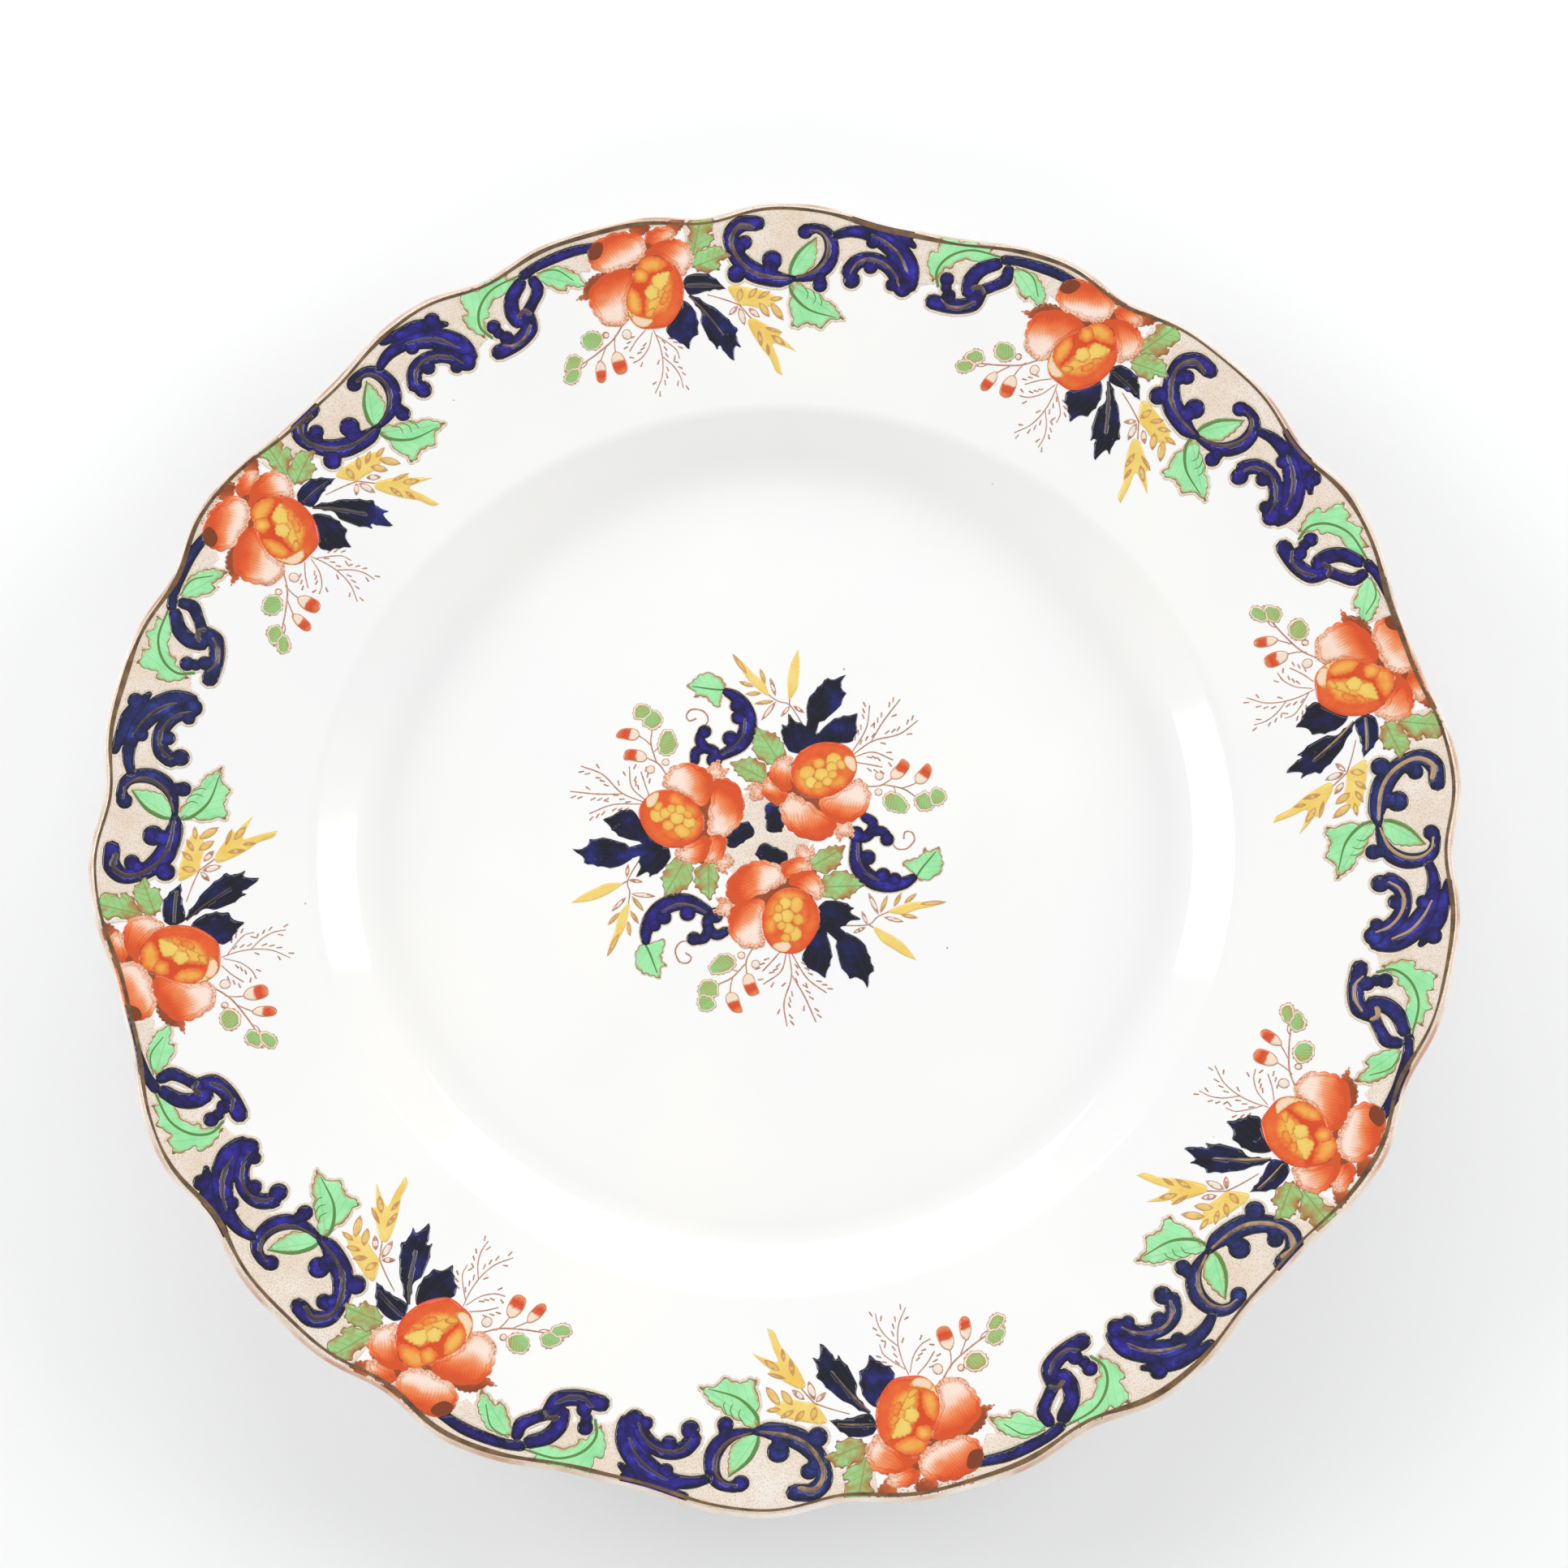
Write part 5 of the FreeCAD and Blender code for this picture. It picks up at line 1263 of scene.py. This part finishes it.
border_wanted = wanted_of(1)
border_wanted.update({name: cobalt_piece(name) for name in SCROLLS})
border_wanted["spines"] = ("scroll_spines_pad", SCROLL_LIFT, "gilt", paints["spines"], [])
bouquet_wanted = wanted_of(2)
bouquet_wanted["cobalt_leaves"][-1].append("centre_cobalt_buds")
bouquet_wanted["scrolls"] = cobalt_piece("centre_cobalt_scrolls")
bouquet_wanted["spines"] = ("centre_spines_pad", SCROLL_LIFT, "gilt", paints["spines"], [])
repeat_turns = [-(k * 360.0 / REPEATS + REPEAT_SLIPS[k]) for k in range(REPEATS)]
laid([border_cut(k) for k in range(REPEATS)], border_wanted)
laid([cut_out(bouquet_shapes, BOUQUET_SPACING, 0.0, BOUQUET_CENTRE)], bouquet_wanted)


def ring(turn, r, z):
    """Points round the plate at radius r and height z."""
    return np.stack((r * np.cos(turn), r * np.sin(turn), np.broadcast_to(z, turn.shape)), 1)


def plate_body():
    """Well, shoulder, rim and underside as one closed mesh with a rounded scalloped edge."""
    turn = np.arange(AROUND) * 2 * math.pi / AROUND
    edge = edge_radius(turn)
    flat_r = np.concatenate((np.linspace(4, 68, 12), TOP[1:-1, 0]))
    rings = [[(0, 0, FLOOR_Z)]] + [ring(turn, r, surface(r)) for r in flat_r]
    for t in np.linspace(0.06, 1, 16):
        r = flat_r[-1] + (edge - EDGE_ROUND - flat_r[-1]) * t
        rings.append(ring(turn, r, surface(r)))
    for t in np.linspace(0.15, 1, 6):
        r = edge - EDGE_ROUND * (1 - math.sin(t * math.pi / 2))
        drop = EDGE_ROUND * (1 - math.cos(t * math.pi / 2)) * EDGE_FLATNESS
        rings.append(ring(turn, r, rim_top(edge - EDGE_ROUND) - drop))
    for t in np.linspace(0.15, 1, 6):
        r = edge - EDGE_ROUND * (1 - math.cos(t * math.pi / 2))
        rise = EDGE_ROUND * (1 - math.sin(t * math.pi / 2)) * EDGE_FLATNESS
        rings.append(ring(turn, r, rim_under(edge - EDGE_ROUND) + rise))
    under_r = UNDER[1:-1, 0][::-1]
    for t in np.linspace(0.9, 0, 12):
        r = under_r[0] + (edge - EDGE_ROUND - under_r[0]) * t
        rings.append(ring(turn, r, np.interp(r, UNDER[:, 0], UNDER[:, 1])))
    for r in np.concatenate((under_r[1:], np.linspace(78, 4, 12))):
        rings.append(ring(turn, r, np.interp(r, UNDER[:, 0], UNDER[:, 1])))
    rings.append([(0, 0, UNDERSIDE_Z)])
    piece = ring_mesh("china_body_glazed", rings[::-1])
    where = np.empty(3 * len(piece.data.vertices))
    piece.data.vertices.foreach_get("co", where)
    x, y, z = ((where.reshape(-1, 3) - np.array(BASE)) / MM).T
    edge = edge_radius(np.arctan2(y, x))
    inset = edge - np.hypot(x, y) + np.maximum(0.0, rim_top(edge) - 1.1 - z)
    piece.data.attributes.new("inset", "FLOAT", "POINT").data.foreach_set("value", inset.astype(np.float32))
    return piece


def foot_ring():
    turn = np.arange(AROUND // 2) * 4 * math.pi / AROUND
    return ring_mesh("foot_ring_bare", [ring(turn, r, z) for r, z in FOOT])


def edge_band(name, outer, inner, lift, widths=None, wander=0.0):
    """A thin pad along the scalloped edge between two insets. The widths say how it swells along a repeat."""
    turn = np.arange(AROUND) * 2 * math.pi / AROUND
    edge = edge_radius(turn)
    middle = (outer + inner) / 2 + wander * sum(np.sin(n * turn + n * n) for n in (3, 7, 11)) / 3
    half = np.full(AROUND, (inner - outer) / 2)
    if widths:
        clockwise = (90.0 - FIRST_REPEAT - np.degrees(turn)) % 360.0
        place = np.radians(clockwise % (360.0 / REPEATS)) * STRIP_RADIUS
        hand = 1 + GILT_SWELL * sum(np.cos(n * turn + n) for n in (5, 13, 29)) / 3
        half = np.interp(place, *zip(*widths)) / 2 * hand
    low_r = edge - middle - half
    high_r = np.minimum(edge - middle + half, edge - EDGE_ROUND - 0.03)
    corners = ((low_r, -SINK), (low_r, lift), (high_r, lift), (high_r, -SINK))
    return ring_mesh(name, [ring(turn, r, surface(r) + dz) for r, dz in corners], smooth=False)


finish_piece(plate_body(), "china", china_paint(), "china_body")
finish_piece(foot_ring(), "bare_foot", foot_paint(), "foot_ring")
finish_piece(edge_band("edge_print", *EDGE_PRINT), "edge_stipple", edge_print_paint(), "edge_print_band")
finish_piece(edge_band("gilt_line", *GILT_LINE, GILT_WIDTHS, GILT_WANDER), "gilt", gilt_paint(),
             "gilt_edge_line")


# ---------------------------------------------------------------- stage

CAMERA_FOCAL = 82.4
CAMERA_SENSOR = 36.0
CAMERA_DISTANCE = 0.6921
# Azimuth and elevation of the camera, in degrees.
CAMERA_ANGLES = (8.69, 72.2)
# The direction that points to the right in the picture. The camera is rolled a little.
CAMERA_RIGHT = (0.99891, 0.00715, -0.04618)
CAMERA_SHIFT = (0.0085, 0.0240)
WORLD_COLOUR = (0.985, 0.992, 1.0, 1.0)
WORLD_STRENGTH = 0.59
# Name, place, width, height and watts of each lamp.
LAMPS = (("left_box", (-1.5, 0.45, 0.62), 1.1, 0.55, 10.5), ("right_box", (1.5, 0.45, 0.62), 1.1, 0.55, 9.8),
         ("top_box", (0.0, 1.3, 0.7), 1.6, 0.8, 7.2), ("front_box", (0.0, -3.2, 1.6), 3.2, 1.6, 28))


def floor():
    half = 3.0
    mesh = bpy.data.meshes.new("floor")
    mesh.from_pydata([(-half, -half, BASE.z), (half, -half, BASE.z), (half, half, BASE.z),
                      (-half, half, BASE.z)],
                     [], [(0, 1, 2, 3)])
    p = Paint("pale_floor", roughness=0.9)
    p.colour(p.ramp(p.noise(0.01), [(0.0, "#fbfbfb"), (1.0, "#f9f9f9")]))
    mesh.materials.append(p.material)
    placed("floor", mesh)


def softbox(name, place, width, height, watts):
    """A rectangular lamp in metres that faces the plate."""
    light = bpy.data.lights.new(name, "AREA")
    light.shape = "RECTANGLE"
    light.size = width
    light.size_y = height
    light.energy = watts
    lamp = placed(name, light)
    lamp.location = place
    lamp.rotation_euler = (-Vector(place)).to_track_quat("-Z", "Y").to_euler()


def studio_world():
    world = bpy.data.worlds.new("studio")
    world.use_nodes = True
    background = world.node_tree.nodes["Background"]
    background.inputs["Color"].default_value = WORLD_COLOUR
    background.inputs["Strength"].default_value = WORLD_STRENGTH
    bpy.context.scene.world = world


def camera():
    """Looks down on the plate as the photographer did, a little from the front."""
    azimuth, elevation = (math.radians(angle) for angle in CAMERA_ANGLES)
    aim = BASE + Vector((0, 0, RIM_Z * MM))
    back = Vector((math.sin(azimuth) * math.cos(elevation), -math.cos(azimuth) * math.cos(elevation),
                   math.sin(elevation)))
    right = Vector(CAMERA_RIGHT)
    right = (right - back * right.dot(back)).normalized()
    up = back.cross(right)
    data = bpy.data.cameras.new("camera")
    data.lens = CAMERA_FOCAL
    data.sensor_width = CAMERA_SENSOR
    data.shift_x, data.shift_y = CAMERA_SHIFT
    data.dof.use_dof = False
    turned = Matrix((right, up, back)).transposed().to_4x4()
    turned.translation = aim + back * CAMERA_DISTANCE
    eye = placed("camera", data)
    eye.matrix_world = turned
    bpy.context.scene.camera = eye


floor()
camera()
bpy.context.scene.view_settings.view_transform = "Standard"
studio_world()
for lamp in LAMPS:
    softbox(*lamp)
